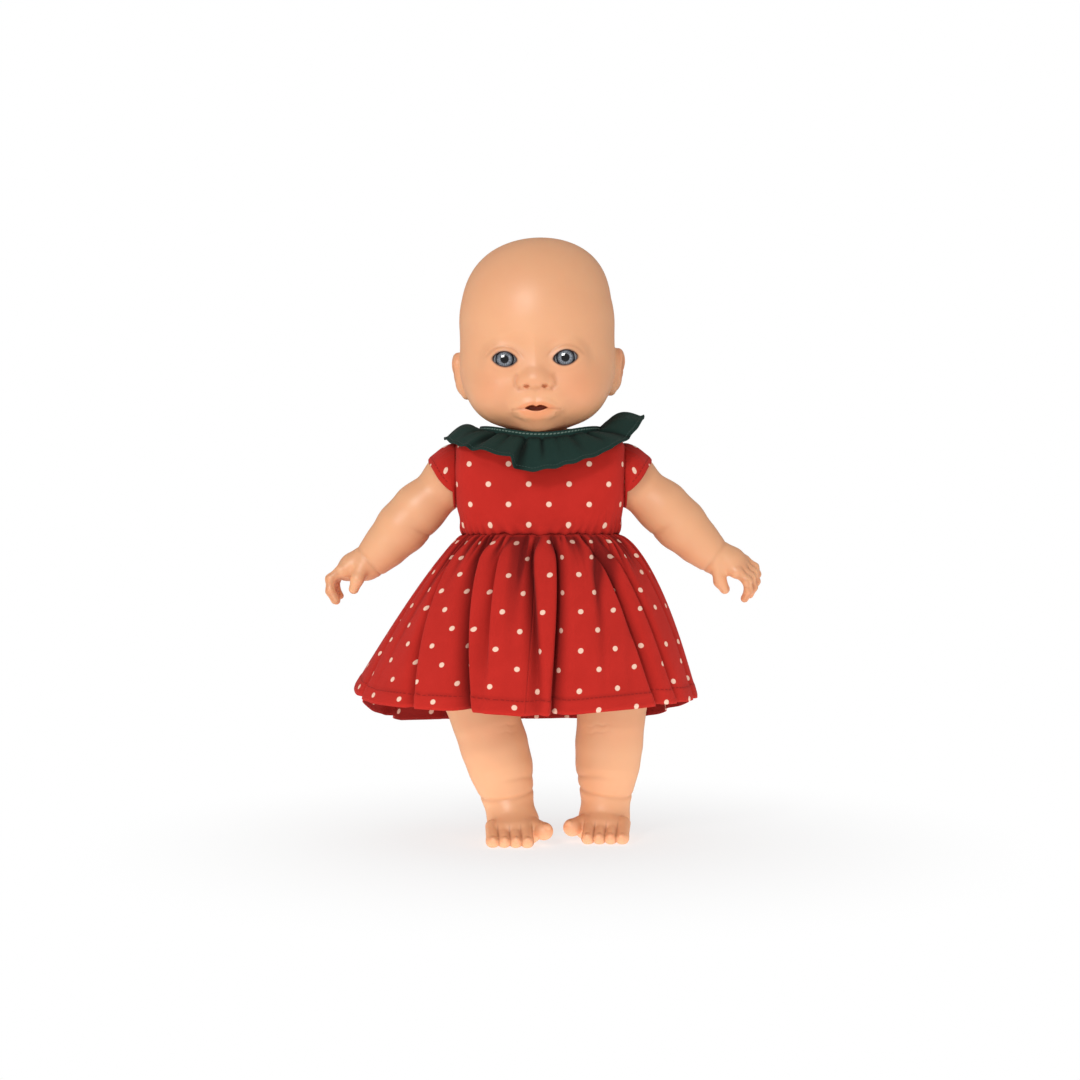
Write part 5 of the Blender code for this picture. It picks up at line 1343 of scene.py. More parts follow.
class DOLL_OT_cloth_body(bpy.types.Operator):
    """Sews and stuffs the cloth body that the head and limbs hang on"""
    bl_idname = "doll.cloth_body"
    bl_label = "Cloth body"

    def execute(self, context):
        segments, seat = 96, 14.0
        angles = turns_round(segments)
        loops = [section(row, -0.25, angles) for row in BODY_SECTIONS]
        for radius, z in ((17.6, 238.4), (seat + 0.2, 236.6), (seat, 233.9)):
            loops.append(np.stack([radius * np.cos(angles), radius * np.sin(angles), np.full(segments, z)], 1))
        grid = smooth_rows(loops, 4)
        out = outward(grid)
        seam = bump(np.cos(angles), 0.0, 0.035)[None, :]
        low = grid[:, :, 2]
        pucker = 0.10 * np.sin(angles * 60)[None, :] * bump(np.cos(angles), 0, 0.12)[None, :]
        ripple = 0.10 * np.sin(low * 0.35 + 3 * np.cos(2 * angles)[None, :])
        fade = step_up(238.0 - low, 0.0, 12.0)
        grid = grid + out * ((-0.55 * seam + pucker - 0.12 + ripple) * fade)[:, :, None]
        points = grid.reshape(-1, 3)
        points = np.vstack([points, points[:segments].mean(0), points[-segments:].mean(0)])
        bottom, crown = len(points) - 2, len(points) - 1
        faces = ring_faces(len(grid), segments) + fan(bottom, 0, segments, turned=True)
        faces += fan(crown, (len(grid) - 1) * segments, segments)
        along = run_along(grid, 1)
        places = np.stack([along, grid[:, :, 2], np.zeros_like(along)], 2).reshape(-1, 3)
        places = np.vstack([places, places[0], places[-1]])
        # Painted shade along the side seams
        fold = np.append(np.broadcast_to(seam, along.shape).ravel(), [0, 0])
        edge = np.append(np.broadcast_to(np.abs(np.cos(angles)) * 30, along.shape).ravel(), [9, 9])
        body = sheet_object("stuffed_body", points, faces, places, fold, edge)
        fix_normals(body)
        finish_piece(body, body_material(), "torso", "body_cloth", "body_cover", "body_stuffing")
        return {"FINISHED"}


# Dress

# Radius of the armholes in millimetres: the cloth is left out inside the first, and its rim is
# drawn in to the second
ARMHOLE_CUT, ARMHOLE_RIM = 18.5, 18.2


def bodice_grid(grow, segments):
    """The bodice's rings from the waist to the neckline, closed at the back, and their angles."""
    angles = turns_round(segments, 0.25, extra=1)
    rows = [row for row in BODY_SECTIONS if 0.705 < row[0] < 1.16] + BODICE_TOP
    loops = [section(row, grow, angles) for row in rows]
    loops.append(neckline(0, -BAND_HEIGHT - 0.6, angles))
    loops.append(neckline(0, -0.9, angles))
    return smooth_rows(loops, 9), angles


def open_armholes(points, faces):
    """Leaves out the faces in the armholes and moves their rims: the points and faces that stay."""
    hole = np.hypot(points[:, 1] - MIDDLE_Y, points[:, 2] - TRUNK_HIGH)
    inside = (np.abs(points[:, 0]) > 40) & (hole < ARMHOLE_CUT)
    kept_faces = [face for face in faces if not inside[list(face)].all()]
    kept = {i for face in kept_faces for i in face}
    rim = {i for face in faces if inside[list(face)].all() for i in face} & kept
    for i in rim:
        scale = ARMHOLE_RIM / max(hole[i], 1e-6)
        points[i, 1] = MIDDLE_Y + (points[i, 1] - MIDDLE_Y) * scale
        points[i, 2] = TRUNK_HIGH + (points[i, 2] - TRUNK_HIGH) * scale
    order = sorted(kept)
    new = {old: k for k, old in enumerate(order)}
    return order, [[new[i] for i in face] for face in kept_faces]


class DOLL_OT_bodice(bpy.types.Operator):
    """Sews the bodice with its armholes, back placket and waist gathers"""
    bl_idname = "doll.bodice"
    bl_label = "Bodice"

    def execute(self, context):
        segments = 180
        grid, angles = bodice_grid(1.3, segments)
        out = outward(grid)
        z = grid[:, :, 2]
        a = angles[None, :]
        low = step_up(200.0 - z, 0.0, 16.0)
        puckers = np.sin(46 * a + 2.0 * np.sin(5 * a))
        ease = (0.34 * np.sin(z * 0.16 + 2.0 * np.sin(3 * a)) * np.sin(2 * a + 0.7) ** 2
                + 0.40 * low * puckers + 0.50 * bump(z, 191, 5) * np.sin(7 * a + 1.0)
                + 0.40 * bump(z, 187, 3) * np.sin(17 * a + 1.5 * np.sin(4 * a)) + 0.30)
        ease = ease * (1 - step_up(z, 236.0, 240.0)) * step_up(z, 183.9, 185.5)
        blouse = 1.3 * step_up(190.0 - z, 0.0, 5.0) + 0.9 * bump(z, 188.5, 2.8)
        grid = grid + out * (ease + blouse)[:, :, None]
        scallop = 0.55 * puckers + 0.55 * np.sin(19 * a + 1.7 * np.sin(4 * a)) + 0.35 * np.sin(7 * a)
        grid[:, :, 2] -= (1.1 + 0.95 * scallop) * step_up(187.5 - z, 0.0, 3.5)

        # Flat places: straight up as far as the shoulders, then along the cloth to the neckline
        around = run_along(grid, 1)
        climb = np.diff(z, axis=0)
        climb = np.where(z[1:] < 226, climb, np.linalg.norm(np.diff(grid, axis=0), axis=2))
        up = np.vstack([z[:1], z[:1] + np.cumsum(climb, axis=0)])
        places = np.stack([around - around[:, [segments // 2]] + 6.6, up - 212.0, np.zeros_like(z)], 2)
        # Painted shade along the waist seam and in the hollows between the puckers
        fold = np.clip(0.50 * bump(z, 184.0, 1.0) + 0.30 * (0.5 - 0.5 * puckers) * bump(z, 185.5, 3.0), 0, 1)
        points = grid.reshape(-1, 3)
        order, faces = open_armholes(points, ring_faces(len(grid), segments + 1, closed=False))
        bodice = sheet_object("dress_bodice_cloth", points[order], faces, places.reshape(-1, 3)[order],
                              fold.ravel()[order], np.full(len(order), NO_EDGE))
        thicken(bodice, settings()[2].cloth)
        fix_normals(bodice)
        finish_piece(bodice, red_material(), "torso", "red_cotton", "dress_bodice")
        self.placket(grid)
        return {"FINISHED"}

    def placket(self, grid):
        """The strip down the back, raised to the seats of the three press studs."""
        inside = (grid[:, 0, 2] > 184.2) & (grid[:, 0, 2] < 236.0)
        columns, half, thick, clear = 17, 5.5, 0.9, 0.15
        seats = []
        for number in (1, 2, 3):
            corners = np.array(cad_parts[f"back_snap_{number}"].bound_box) / MM
            seats.append((corners[:, 2].mean(), corners[:, 1].min()))
        near = np.arange(-14, 15)
        across = np.linspace(-half, half, columns)
        rows = []
        for row in grid[inside]:
            ring = row[near][np.argsort(row[near][:, 0])]
            cloth = np.interp(across, ring[:, 0], ring[:, 1]) + clear
            seat = np.interp(row[0, 2], [s[0] for s in seats], [s[1] for s in seats])
            raised = seat - clear - thick - cloth[columns // 2]
            cloth = cloth + max(raised, 0.0) * (1 - (np.abs(across) / half) ** 8)
            rows.append(np.stack([across, cloth, np.full(columns, row[0, 2])], 1))
        points = np.array(rows).reshape(-1, 3)
        places = np.stack([points[:, 2], points[:, 0] + 9.0, points[:, 0] * 0], 1)
        edge = half - np.abs(points[:, 0]) + 7.3
        strip = sheet_object("back_placket_cloth", points, ring_faces(len(rows), columns, closed=False), places,
                             np.zeros(len(points)), edge)
        thicken(strip, settings()[2].cloth, 1.0)
        fix_normals(strip)
        finish_piece(strip, red_material(), "torso", "red_cotton", "back_placket")


class DOLL_OT_sleeves(bpy.types.Operator):
    """Sews the two cap sleeves"""
    bl_idname = "doll.sleeves"
    bl_label = "Sleeves"

    def execute(self, context):
        vinyl, eyes, dress = settings()[:3]
        segments, rings = 120, 17
        angles = turns_round(segments, 0.5)
        up = 0.5 + 0.5 * np.cos(angles)
        reach = 0.6 + 15.4 * np.clip((up - 0.30) / 0.70, 0, 1) ** 0.85
        for side, word in SIDES:
            loops = []
            for ring in range(rings):
                t = ring / (rings - 1)
                opened = math.sin(math.pi / 2 * min(1.0, t * 1.6))
                drop = math.tan(vinyl.arm_drop) * reach * t * 0.80
                gather = (0.34 * np.sin(34 * angles + 1.2 * np.sin(3 * angles)) * (1 - t) ** 1.6
                          * min(1.0, t * 8) * up)
                wave = 0.60 * t * np.sin(6 * angles + 0.8) * up
                radius = 17.6 + 2.6 * up ** 0.5 + 3.7 * up * opened + gather + wave
                turn_under = 0.6 if ring == rings - 1 else 0.0
                loops.append(np.stack([side * (HALF_WIDTH + 1.2 + reach * t + 0.5 * min(1.0, t * 10)),
                                       MIDDLE_Y + (radius - turn_under) * np.sin(angles),
                                       TRUNK_HIGH + (radius - turn_under) * np.cos(angles) - drop], 1))
            grid = np.array(loops)
            along, down = run_along(grid, 1), run_along(grid, 0)
            places = np.stack([along[rings // 2][None, :] + 0 * along, down + 5.0, 0 * along], 2)
            # Painted shade along the sleeve's root at the armhole
            fold = 0.22 * bump(down, 0.0, 1.2)
            to_edge = down[-1][None, :] - down
            edge = np.where(down[-1][None, :] > 8.0, to_edge + dress.hem_turn / MM - 3.0, NO_EDGE)
            sleeve = sheet_object(f"{word}_sleeve_cloth", grid, ring_faces(rings, segments), places, fold, edge)
            thicken(sleeve, dress.cloth, 0.0)
            fix_normals(sleeve)
            finish_piece(sleeve, red_material(), f"{word}_arm", "red_cotton", f"{word}_sleeve")
        return {"FINISHED"}


# Folds of the skirt: degrees round at the waist and at the hem, half width and depth in millimetres,
# where it starts on the way down, the share of its depth left at the hem, and the side that laps over it.
SKIRT_FOLDS = [
    (-170, -160, 3.4, 5.5, 0.10, 0.5, -1), (-149, -128, 3.0, 9.0, 0.02, 0.8, -1),
    (-121, -106, 5.0, 11.5, 0.00, 1.0, -1), (-108, -101, 2.4, 5.0, 0.00, 0.3, -1),
    (-92, -86, 2.8, 9.0, 0.00, 0.4, -1),
    (-84, -81.5, 3.2, 11.0, 0.00, 0.7, 1), (-65, -42, 4.0, 11.5, 0.00, 0.4, 1),
    (-52, -30, 3.4, 8.5, 0.02, 0.3, 1), (-28, -15, 3.4, 7.0, 0.06, 0.5, 1),
    (6, 8, 3.6, 7.5, 0.04, 0.9, 1), (30, 28, 3.6, 6.0, 0.20, 0.7, 0), (44, 43, 4.0, 8.5, 0.02, 0.9, 1),
    (74, 74, 4.0, 8.5, 0.03, 0.9, 1), (92, 91, 3.4, 6.5, 0.05, 0.8, -1),
    (110, 108, 3.2, 5.0, 0.25, 0.7, 0), (124, 122, 4.2, 9.0, 0.02, 0.9, -1),
    (152, 150, 4.0, 8.0, 0.03, 0.9, -1), (174, 170, 3.0, 5.0, 0.10, 0.7, 0),
]
# Degrees round, and the hem's share of the way from its side height to its front or back height.
HEM_LINE = [
    (-180, -1.6), (-168, -0.8), (-150, 0.1), (-128, 0.3), (-106, 0.45), (-92, 1.0), (-82, 1.05),
    (-65, 0.55), (-40, 0.1), (0, 0.0), (12, 0.20), (25, 0.45), (40, 0.80), (60, 0.95), (90, 1.0),
    (120, 0.97), (140, 0.90), (152, 0.72), (166, 0.25), (180, -0.26),
]


def hem_height(turns):
    """Height of the hem round the skirt, in millimetres."""
    dress = settings()[2]
    degrees = (np.degrees(turns) + 180) % 360 - 180
    part = np.interp(degrees, [row[0] for row in HEM_LINE], [row[1] for row in HEM_LINE])
    low = np.where(degrees < 0, dress.hem_front / MM, dress.hem_back / MM)
    return dress.hem_side / MM + (low - dress.hem_side / MM) * part


def skirt_ring(turns, t):
    """Half width and half depth of the skirt before its folds, t down from the waist."""
    dress = settings()[2]
    opened = max(0.0, t - 0.016) / (1 - 0.016)
    to_right = np.maximum(0, -np.cos(turns)) ** 2
    spread = opened ** (0.62 + 0.22 * to_right)
    top_width, top_depth = HALF_WIDTH * 0.905 + 0.8, HALF_DEPTH * 0.97 + 0.8
    half_width = top_width + (dress.hem_half_width / MM - top_width) * spread
    half_depth = top_depth + (dress.hem_half_depth / MM - top_depth) * spread
    return half_width, half_depth, opened


def skirt_point(turns, t):
    """Points of the skirt at the given angles in radians, and how deep they lie in its folds."""
    waist = settings()[2].waist_height / MM
    half_width, half_depth, opened = skirt_ring(turns, t)
    radius = (half_width + half_depth) / 2
    valley, slide = np.zeros_like(turns), np.zeros_like(turns)
    for at_waist, at_hem, width, depth, start, left, lap in SKIRT_FOLDS:
        middle = at_waist + (at_hem - at_waist) * t ** 0.85
        off = np.radians((np.degrees(turns) - middle + 180) % 360 - 180) * radius
        begun = float(step_up(np.array(t), start, start + 0.16))
        ended = 1 - (1 - left) * float(step_up(np.array(t), 0.40, 1.0))
        wide = width * (0.75 + 0.40 * t)
        lean = np.where(off * lap < 0, 0.55, 1.35) if lap else 1.0
        valley = valley + depth * begun * ended * np.exp(-(off / (wide * lean)) ** 2)
        slide = slide + lap * 1.15 * wide * begun * ended * np.exp(-((off + lap * wide) / (0.85 * wide)) ** 2)
    uneven = 0.5 + 0.5 * np.sin(19 * turns + 2.2 * np.sin(7 * turns + 0.6))
    reach = 0.048 + 0.18 * (0.5 + 0.5 * np.sin(5.3 * turns + 1.0)) * uneven + 0.06 * uneven
    pleat = (0.5 - 0.5 * np.sin(64 * turns + 1.8 * np.sin(9 * turns) + 0.9 * np.sin(23 * turns))) ** 1.8
    wide_pleat = (0.5 - 0.5 * np.sin(26 * turns + 2.4 * np.sin(5 * turns) + 1.0)) ** 1.6
    fade_in = min(1.0, opened / 0.02)
    narrow = (1.9 + 1.3 * uneven) * pleat * np.exp(-(opened / reach) ** 2)
    gathers = fade_in * (narrow + 1.9 * wide_pleat * np.exp(-(opened / (2.1 * reach)) ** 2))
    soft = 0.45 * np.sin(23 * turns + 2.6 * np.sin(4 * turns)) * t * (1 - t) * 2.6
    outward_by = (2.4 * t ** 0.6 - valley) * min(1.0, opened / 0.06) + 1.2 * fade_in * (1 - t) - gathers + soft
    shifted = turns + slide / radius * min(1.0, opened / 0.08)
    c, s = np.cos(shifted), np.sin(shifted)
    hem_z = hem_height(turns) + 0.12 * valley - 0.6
    z = waist + 0.4 + (hem_z - waist) * t
    power = 2 / (2.5 - 0.5 * t)
    x = (half_width + outward_by) * np.sign(c) * np.abs(c) ** power - 8.5 * t
    y = (half_depth + outward_by) * np.sign(s) * np.abs(s) ** power + MIDDLE_Y * (1 - t)
    return np.stack([x, y, z], 1), valley + 4.6 * gathers


class DOLL_OT_skirt(bpy.types.Operator):
    """Gathers the skirt on to the waist, with a turned and stitched hem"""
    bl_idname = "doll.skirt"
    bl_label = "Skirt"

    def execute(self, context):
        dress = settings()[2]
        columns, rings = 421, 74
        for side, word in SIDES:
            start, end = (-math.pi / 2, math.pi / 2) if side > 0 else (math.pi / 2, 3 * math.pi / 2)
            turns = np.linspace(start, end, columns)
            loops, folds = [], []
            for ring in range(rings):
                t = (ring / (rings - 1)) ** 1.25
                loop, valley = skirt_point(turns, t)
                loops.append(loop)
                folds.append(valley)
            grid, folds = np.array(loops), np.array(folds)
            front_end = 0 if side > 0 else columns - 1
            half_width, half_depth = skirt_ring(turns, 1.0)[:2]
            plain_hem = np.stack([half_width * np.cos(turns), half_depth * np.sin(turns), 0 * turns], 1)
            across = run_along(plain_hem[None], 1)[0]
            across = across - across[front_end] + 6.0
            gaps = np.gradient(run_along(grid, 1), axis=1)
            spread = np.clip(gaps / np.gradient(across)[None, :], 0.25, 4.0)
            down = run_along(grid, 0)
            length_down = np.median(down, axis=1)[:, None] + 0 * down + 2.0
            places = np.stack([np.broadcast_to(across, down.shape), length_down, spread - 1], 2)
            to_hem = down[-1][None, :] - down
            hem_turn = dress.hem_turn / MM
            tucked = 0.9 * bump(to_hem, 0, 0.9)
            hem_ridge = 0.35 * (1 - step_up(to_hem, hem_turn - 0.3, hem_turn + 0.5))
            normal = outward(grid, closed=False)
            facing = np.sign(((grid - [0, MIDDLE_Y, 0]) * normal * [1, 1, 0]).sum(2).mean())
            grid = grid + facing * normal * (hem_ridge - 0.5 * tucked)[:, :, None]
            # Painted shade in the folds and gathers, under the waist seam and along the hem's turn; the inside
            # face is given painted shade too
            shade = np.clip(folds / 9.0, 0, 1) ** 1.3 * 0.95 + 0.60 * bump(down, 0, 2.2)
            shade = np.clip(shade + 0.30 * bump(to_hem, hem_turn + 0.4, 0.45), 0, 1)
            faces = ring_faces(rings, columns, closed=False)
            skirt = sheet_object(f"skirt_{word}_half", grid, faces, places, shade, to_hem)
            face_out(skirt)
            thicken(skirt, dress.cloth, inside=0.85)
            nodes = ["dress_skirt"] if side > 0 else []
            finish_piece(skirt, red_material(), "torso", "red_cotton", *nodes)
            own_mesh(skirt)
        return {"FINISHED"}


def face_out(obj):
    """Turns an open sheet's faces to look away from the doll's middle line."""
    total = 0
    for face in obj.data.polygons:
        x, y = face.center.x, face.center.y - MIDDLE_Y * MM
        total += face.area * (face.normal.x * x + face.normal.y * y)
    if total < 0:
        obj.data.flip_normals()


# How the ruffle lies round the neck: degrees round, then how far out, down and arched up, in shares
# of its width.
RUFFLE_LIE = [
    (-180, 0.84, 0.14, 0.24), (-165, 0.84, 0.19, 0.20), (-150, 0.84, 0.30, 0.10), (-140, 0.82, 0.34, 0.06),
    (-133, 0.76, 0.40, 0.02), (-128, 0.80, 0.38, 0.05), (-112, 0.78, 0.46, 0.02), (-106.5, 0.76, 0.48, 0.00),
    (-103.5, 0.66, 0.74, 0.02), (-95, 0.62, 0.78, 0.03), (-80, 0.64, 0.71, 0.04), (-65, 0.69, 0.60, 0.04),
    (-52, 0.74, 0.50, 0.04), (-44, 0.80, 0.38, 0.04), (-36, 0.86, 0.24, 0.03), (-25, 0.86, 0.14, 0.05),
    (-13, 0.98, -0.20, 0.18), (0, 1.04, -0.40, 0.28), (14, 0.98, -0.28, 0.26), (30, 0.86, 0.02, 0.14),
    (48, 0.76, 0.34, 0.02), (66, 0.86, 0.12, 0.12), (82, 0.78, 0.32, 0.02), (100, 0.86, 0.10, 0.12),
    (118, 0.76, 0.34, 0.02), (135, 0.84, 0.18, 0.10), (150, 0.78, 0.30, 0.04), (165, 0.84, 0.16, 0.18),
    (180, 0.84, 0.14, 0.24),
]
# Small pinches where the ruffle is gathered: degrees round, half width in degrees, depth in millimetres.
RUFFLE_PINCHES = [
    (-168, 3, 1.6), (-152, 3, 1.5), (-134, 3, 2.4), (-119, 2.0, 1.0), (-103, 2.5, 2.4), (-88, 2.0, 2.2),
    (-75, 2.0, 0.6), (-60, 3.5, 1.4), (-42, 3, 2.2), (-26, 3, 2.2), (-8, 3, 1.4), (12, 3, 1.5), (47, 4, 1.8),
    (82, 4, 1.3), (118, 4, 1.4), (150, 4, 1.2),
]
# Where the ruffle is folded over itself: degrees round, half width in degrees, how far in degrees.
RUFFLE_LAPS = [(-102.5, 3.5, -3.2), (-45, 4.0, 2.2), (-29, 4.0, 3.0), (-134, 4.0, -2.4)]


def ruffle_lie(angles):
    """Out, down and arch of the ruffle as shares of its width, and its pinches in millimetres."""
    degrees = (np.degrees(angles) + 180) % 360 - 180
    places = [row[0] for row in RUFFLE_LIE]
    lies = []
    for column in (1, 2, 3):
        values = np.interp(degrees, places, [row[column] for row in RUFFLE_LIE])
        lies.append((np.roll(values, 1) + 2 * values + np.roll(values, -1)) / 4)
    pinches = sum(depth * bump((degrees - at + 180) % 360 - 180, 0, width)
                  for at, width, depth in RUFFLE_PINCHES)
    return lies[0], lies[1], lies[2], pinches


class DOLL_OT_collar(bpy.types.Operator):
    """Makes the stitched neck band and the fluted ruffle"""
    bl_idname = "doll.collar"
    bl_label = "Collar"

    def execute(self, context):
        self.band()
        self.ruffle()
        return {"FINISHED"}

    def band(self):
        segments, rings = 288, 12
        angles = turns_round(segments)
        loops = []
        for ring in range(rings):
            t = ring / (rings - 1)
            belly = 0.35 * math.sin(math.pi * t)
            rise = -BAND_HEIGHT + BAND_HEIGHT * t + 0.2 * math.sin(math.pi * t)
            loops.append(neckline(1.45 + belly + 0.10 * np.sin(52 * angles), rise, angles))
        grid = np.array(loops)
        along = run_along(grid, 1)
        heights = np.linspace(0, BAND_HEIGHT, rings)[:, None] + 0 * along
        # Painted shade along the band's lower edge
        band = sheet_object("collar_band_cloth", grid, ring_faces(rings, segments),
                            np.stack([along, heights, 0 * along], 2), 0.5 * bump(heights, 0, 0.7), heights)
        thicken(band, 0.0011)
        fix_normals(band)
        finish_piece(band, band_material(), "torso", "green_cotton", "collar_band")

    def ruffle(self):
        dress = settings()[2]
        width, depth = dress.ruffle_width / MM, dress.ruffle_depth / MM
        segments, rings = 540, 26
        angles = turns_round(segments, 0.25)
        out, down, arch, pinches = ruffle_lie(angles)
        degrees = (np.degrees(angles) + 180) % 360 - 180
        lap = sum(np.radians(turn) * bump(degrees, at, half) for at, half, turn in RUFFLE_LAPS)
        wave = np.sin(23 * angles + 1.5 * np.sin(5 * angles))
        loops = []
        for ring in range(rings):
            t = ring / (rings - 1)
            small = (0.30 * np.sin(58 * angles + np.sin(7 * angles)) * math.exp(-(t / 0.22) ** 2)
                     * min(1, t * 12))
            pinch = pinches * math.sin(math.pi * min(1.0, 0.12 + t) ** 0.6) ** 2
            lift = width * arch * math.sin(math.pi * min(1.0, t * 1.08) ** 0.85) + small - 0.6 * pinch
            lift = lift + depth * 0.10 * t * wave
            radius = NECK_HALF + (1.7 + width * out * t - 0.7 * pinch)
            turned = angles + lap * t ** 0.7
            z = neckline_height(angles) - BAND_HEIGHT * 0.70 - width * down * t + lift
            loops.append(np.stack([radius * np.cos(turned), MIDDLE_Y + radius * np.sin(turned), z], 1))
        grid = np.array(loops)
        along, down = run_along(grid, 1), run_along(grid, 0)
        to_edge = down[-1][None, :] - down
        # Painted shade on the inturned walls of the flutes, where the ruffle laps over itself, in the pinches
        # and along its root
        wall_shade = 0.9 * bump(degrees, -101.5, 2.4)[None, :] * step_up(down, 2.0, 8.0)
        folded = bump(degrees, -27.5, 2.4) + 0.7 * bump(degrees, -136, 2.6)
        wall_shade = wall_shade + 0.8 * folded[None, :] * step_up(down, 1.0, 6.0)
        shaded = wall_shade + 0.80 * np.clip(pinches / 2.4, 0, 1)[None, :] * (1 - step_up(down, 8.0, 21.0))
        grid[:, :, 2] += 0.25 * (1 - step_up(to_edge, 2.0, 2.6))
        places = np.stack([np.broadcast_to(along[-1], along.shape), down, 0 * along], 2)
        fold = np.clip(0.8 * bump(down, 0, 2.2) + shaded, 0, 1)
        ruffle = sheet_object("collar_ruffle_cloth", grid, ring_faces(rings, segments), places, fold, to_edge)
        thicken(ruffle, 0.0010, 0.0)
        fix_normals(ruffle)
        finish_piece(ruffle, green_material(), "torso", "green_cotton", "collar_ruffle")


# Hardware that stays from the frame

class DOLL_OT_fittings(bpy.types.Operator):
    """Finishes the joint studs, lock washers, neck tie and press studs"""
    bl_idname = "doll.fittings"
    bl_label = "Fittings"

    def execute(self, context):
        mat, tree, shader = new_material("White nylon", 0.42, Specular_IOR_Level=0.45)
        place = place_on(tree)
        clouds = between(tree, noise(tree, place, 60.0, 3.0), 0.35, 0.70, 0.0, 0.5)
        fine = noise(tree, place, 1400.0, 2.0)
        base = mix_colour(tree, clouds, (0.80, 0.79, 0.75), (0.70, 0.68, 0.62))
        wire(tree, base, shader.inputs["Base Color"])
        wire(tree, between(tree, fine, 0.3, 0.7, 0.36, 0.50), shader.inputs["Roughness"])
        bump_into(tree, shader, fine, 0.2, 0.0001)
        names = ["neck_tie", "back_snap_1", "back_snap_2", "back_snap_3"]
        for side, word in SIDES:
            for limb in ("arm", "leg"):
                names += [f"{word}_{limb}_joint_stud", f"{word}_{limb}_lock_washer"]
        for name in names:
            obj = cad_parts[name]
            obj.data.materials.clear()
            obj.data.materials.append(mat)
        return {"FINISHED"}


# Stage

# Way to each lamp from the doll's middle, share of the lamp power, size in metres, and whether it
# lights the doll or only shines in it
LAMPS = [
    ((-0.38, -0.82, 0.40), 0.95, 0.24, True), ((0.55, -0.72, 0.42), 0.08, 0.24, True),
    ((-0.30, -1.0, -0.12), 0.50, 0.80, True), ((-0.26, -0.80, 0.46), 1.8, 0.50, False),
]
LAMP_DISTANCE, DOLL_MIDDLE = 1.5, Vector((0, 0, 0.24))


def floor_material(tone):
    """Plain white to the camera, darker near the feet, and a soft glow upward for the doll."""
    mat, tree, shader = new_material("Pale floor", 0.85, Specular_IOR_Level=0.2)
    put(tree, shader.inputs["Base Color"], tone)
    far = vector_maths(tree, "LENGTH", vector_maths(tree, "SUBTRACT", place_on(tree), (0.011, -0.005, 0.0)))
    glow = tree.nodes.new("ShaderNodeEmission")
    blend_in = tree.nodes.new("ShaderNodeMixShader")
    path = tree.nodes.new("ShaderNodeLightPath")
    near_feet = between(tree, far, 0.030, 0.300, 0.70, 1.0)
    camera_ray = path.outputs["Is Camera Ray"]
    seen = maths(tree, "MULTIPLY_ADD", camera_ray, maths(tree, "SUBTRACT", near_feet, 0.8), 0.8)
    bounce = between(tree, far, 0.08, 0.55, 2.10, 1.04)
    lit = maths(tree, "MULTIPLY_ADD", camera_ray, maths(tree, "SUBTRACT", 1.0, bounce), bounce)
    mirrored = maths(tree, "MULTIPLY_ADD", path.outputs["Is Glossy Ray"], -0.90, 1.0)
    wire(tree, maths(tree, "MULTIPLY", lit, mirrored), glow.inputs["Strength"])
    wire(tree, seen, blend_in.inputs[0])
    wire(tree, shader.outputs[0], blend_in.inputs[1])
    wire(tree, glow.outputs[0], blend_in.inputs[2])
    wire(tree, blend_in.outputs[0], tree.nodes["Material Output"].inputs["Surface"])
    return mat


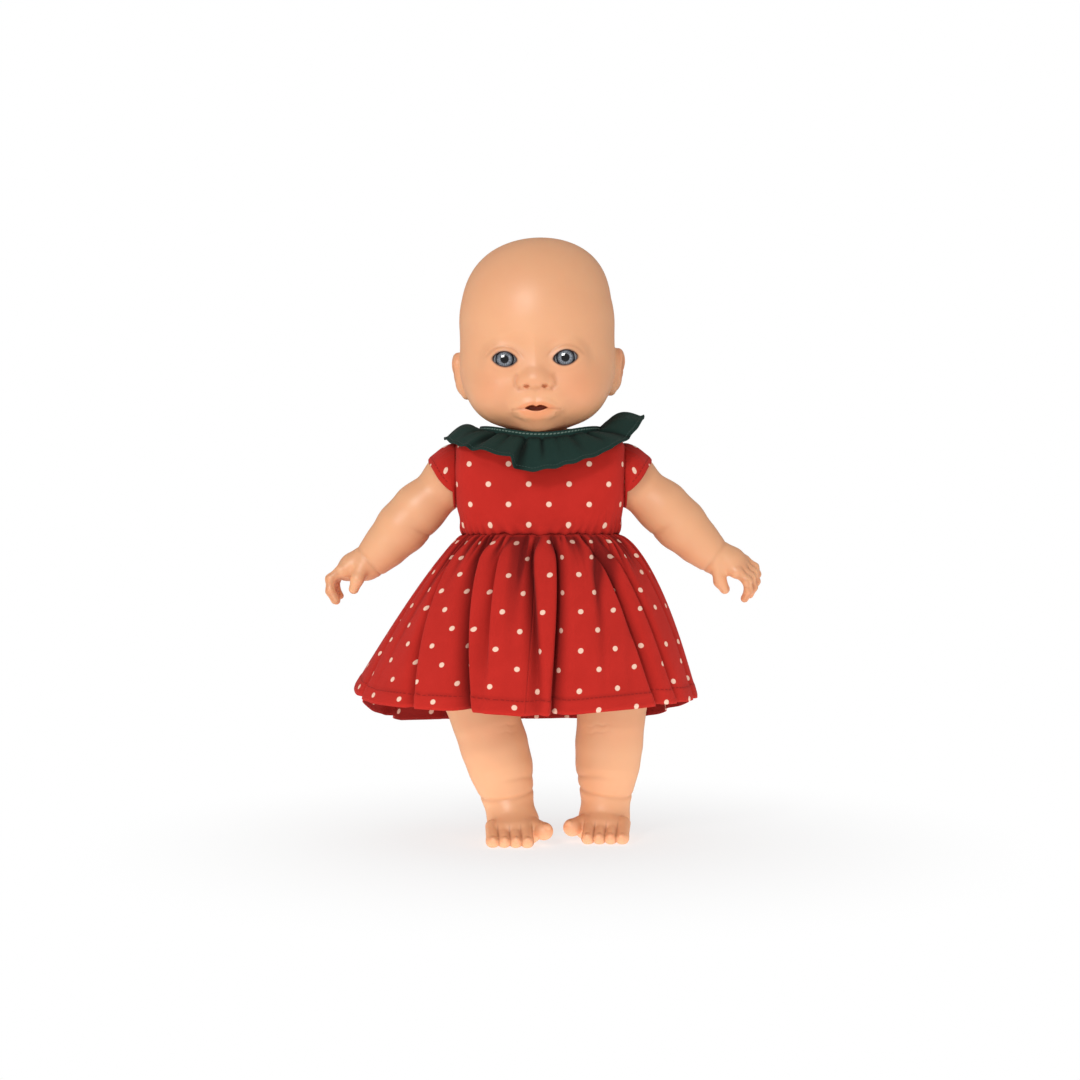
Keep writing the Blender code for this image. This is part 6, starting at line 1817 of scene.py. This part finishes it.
class DOLL_OT_stage(bpy.types.Operator):
    """Lays the pale floor and sets the lamps, the room light and the camera"""
    bl_idname = "doll.stage"
    bl_label = "Stage"

    def execute(self, context):
        stage, scene = settings()[3], bpy.context.scene
        self.floor(stage, scene)
        self.room(stage, scene)
        self.lamps(stage, scene)
        self.camera(stage, scene)
        scene.view_settings.view_transform = "Standard"
        return {"FINISHED"}

    def floor(self, stage, scene):
        bm = bmesh.new()
        bmesh.ops.create_grid(bm, x_segments=24, y_segments=24, size=4.0)
        mesh = bpy.data.meshes.new("floor")
        bm.to_mesh(mesh)
        bm.free()
        floor = bpy.data.objects.new("floor", mesh)
        floor.location.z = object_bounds()[0][2] - 0.0001
        scene.collection.objects.link(floor)
        floor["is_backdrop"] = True
        floor.data.materials.append(floor_material(stage.floor))

    def room(self, stage, scene):
        world = bpy.data.worlds.new("white room")
        world.use_nodes = True
        scene.world = world
        tree = world.node_tree
        back = tree.nodes["Background"]
        path = tree.nodes.new("ShaderNodeLightPath")
        level = between(tree, path.outputs["Is Glossy Ray"], 0.0, 1.0, stage.room_light,
                        stage.room_light * 0.35, smooth=False)
        level = maths(tree, "MAXIMUM", level, path.outputs["Is Camera Ray"])
        put(tree, back.inputs["Color"], (1.0, 1.0, 1.0))
        wire(tree, level, back.inputs["Strength"])

    def lamps(self, stage, scene):
        for number, (way, power, size, lights) in enumerate(LAMPS, start=1):
            lamp = bpy.data.lights.new(f"soft lamp {number}", "AREA")
            lamp.energy = stage.lamp_power * power
            lamp.size = size
            obj = bpy.data.objects.new(f"soft lamp {number}", lamp)
            obj.location = DOLL_MIDDLE + Vector(way).normalized() * LAMP_DISTANCE
            obj.rotation_euler = (DOLL_MIDDLE - obj.location).to_track_quat("-Z", "Y").to_euler()
            obj.visible_diffuse = lights
            obj.visible_glossy = size < 0.7
            scene.collection.objects.link(obj)

    def camera(self, stage, scene):
        camera = bpy.data.cameras.new("camera")
        camera.lens = stage.focal
        camera.sensor_width = 36
        camera.shift_y = stage.shift
        obj = bpy.data.objects.new("camera", camera)
        obj.location = (0, -stage.camera_distance, stage.camera_height)
        obj.rotation_euler = (math.pi / 2, 0, 0)
        scene.collection.objects.link(obj)
        scene.camera = obj


class DOLL_PT_panel(bpy.types.Panel):
    """Baby doll pieces"""
    bl_label = "Baby Doll"
    bl_idname = "DOLL_PT_panel"
    bl_space_type = "VIEW_3D"
    bl_region_type = "UI"
    bl_category = "Baby Doll"

    def draw(self, context):
        for operator in PIECES:
            self.layout.operator(operator.bl_idname)


PIECES = (DOLL_OT_head, DOLL_OT_eyes, DOLL_OT_arms, DOLL_OT_legs, DOLL_OT_cloth_body, DOLL_OT_bodice,
          DOLL_OT_sleeves, DOLL_OT_skirt, DOLL_OT_collar, DOLL_OT_fittings, DOLL_OT_stage)
GROUPS = ((DollVinylSettings, "doll_vinyl"), (DollEyeSettings, "doll_eyes"),
          (DollDressSettings, "doll_dress"), (DollStageSettings, "doll_stage"))


def register():
    for group, word in GROUPS:
        bpy.utils.register_class(group)
        setattr(bpy.types.Scene, word, PointerProperty(type=group))
    for operator in PIECES:
        bpy.utils.register_class(operator)
    bpy.utils.register_class(DOLL_PT_panel)


def unregister():
    bpy.utils.unregister_class(DOLL_PT_panel)
    for operator in reversed(PIECES):
        bpy.utils.unregister_class(operator)
    for group, word in reversed(GROUPS):
        delattr(bpy.types.Scene, word)
        bpy.utils.unregister_class(group)


def main():
    register()
    for operator in PIECES:
        group, word = operator.bl_idname.split(".")
        getattr(getattr(bpy.ops, group), word)()


if __name__ == "__main__":
    main()
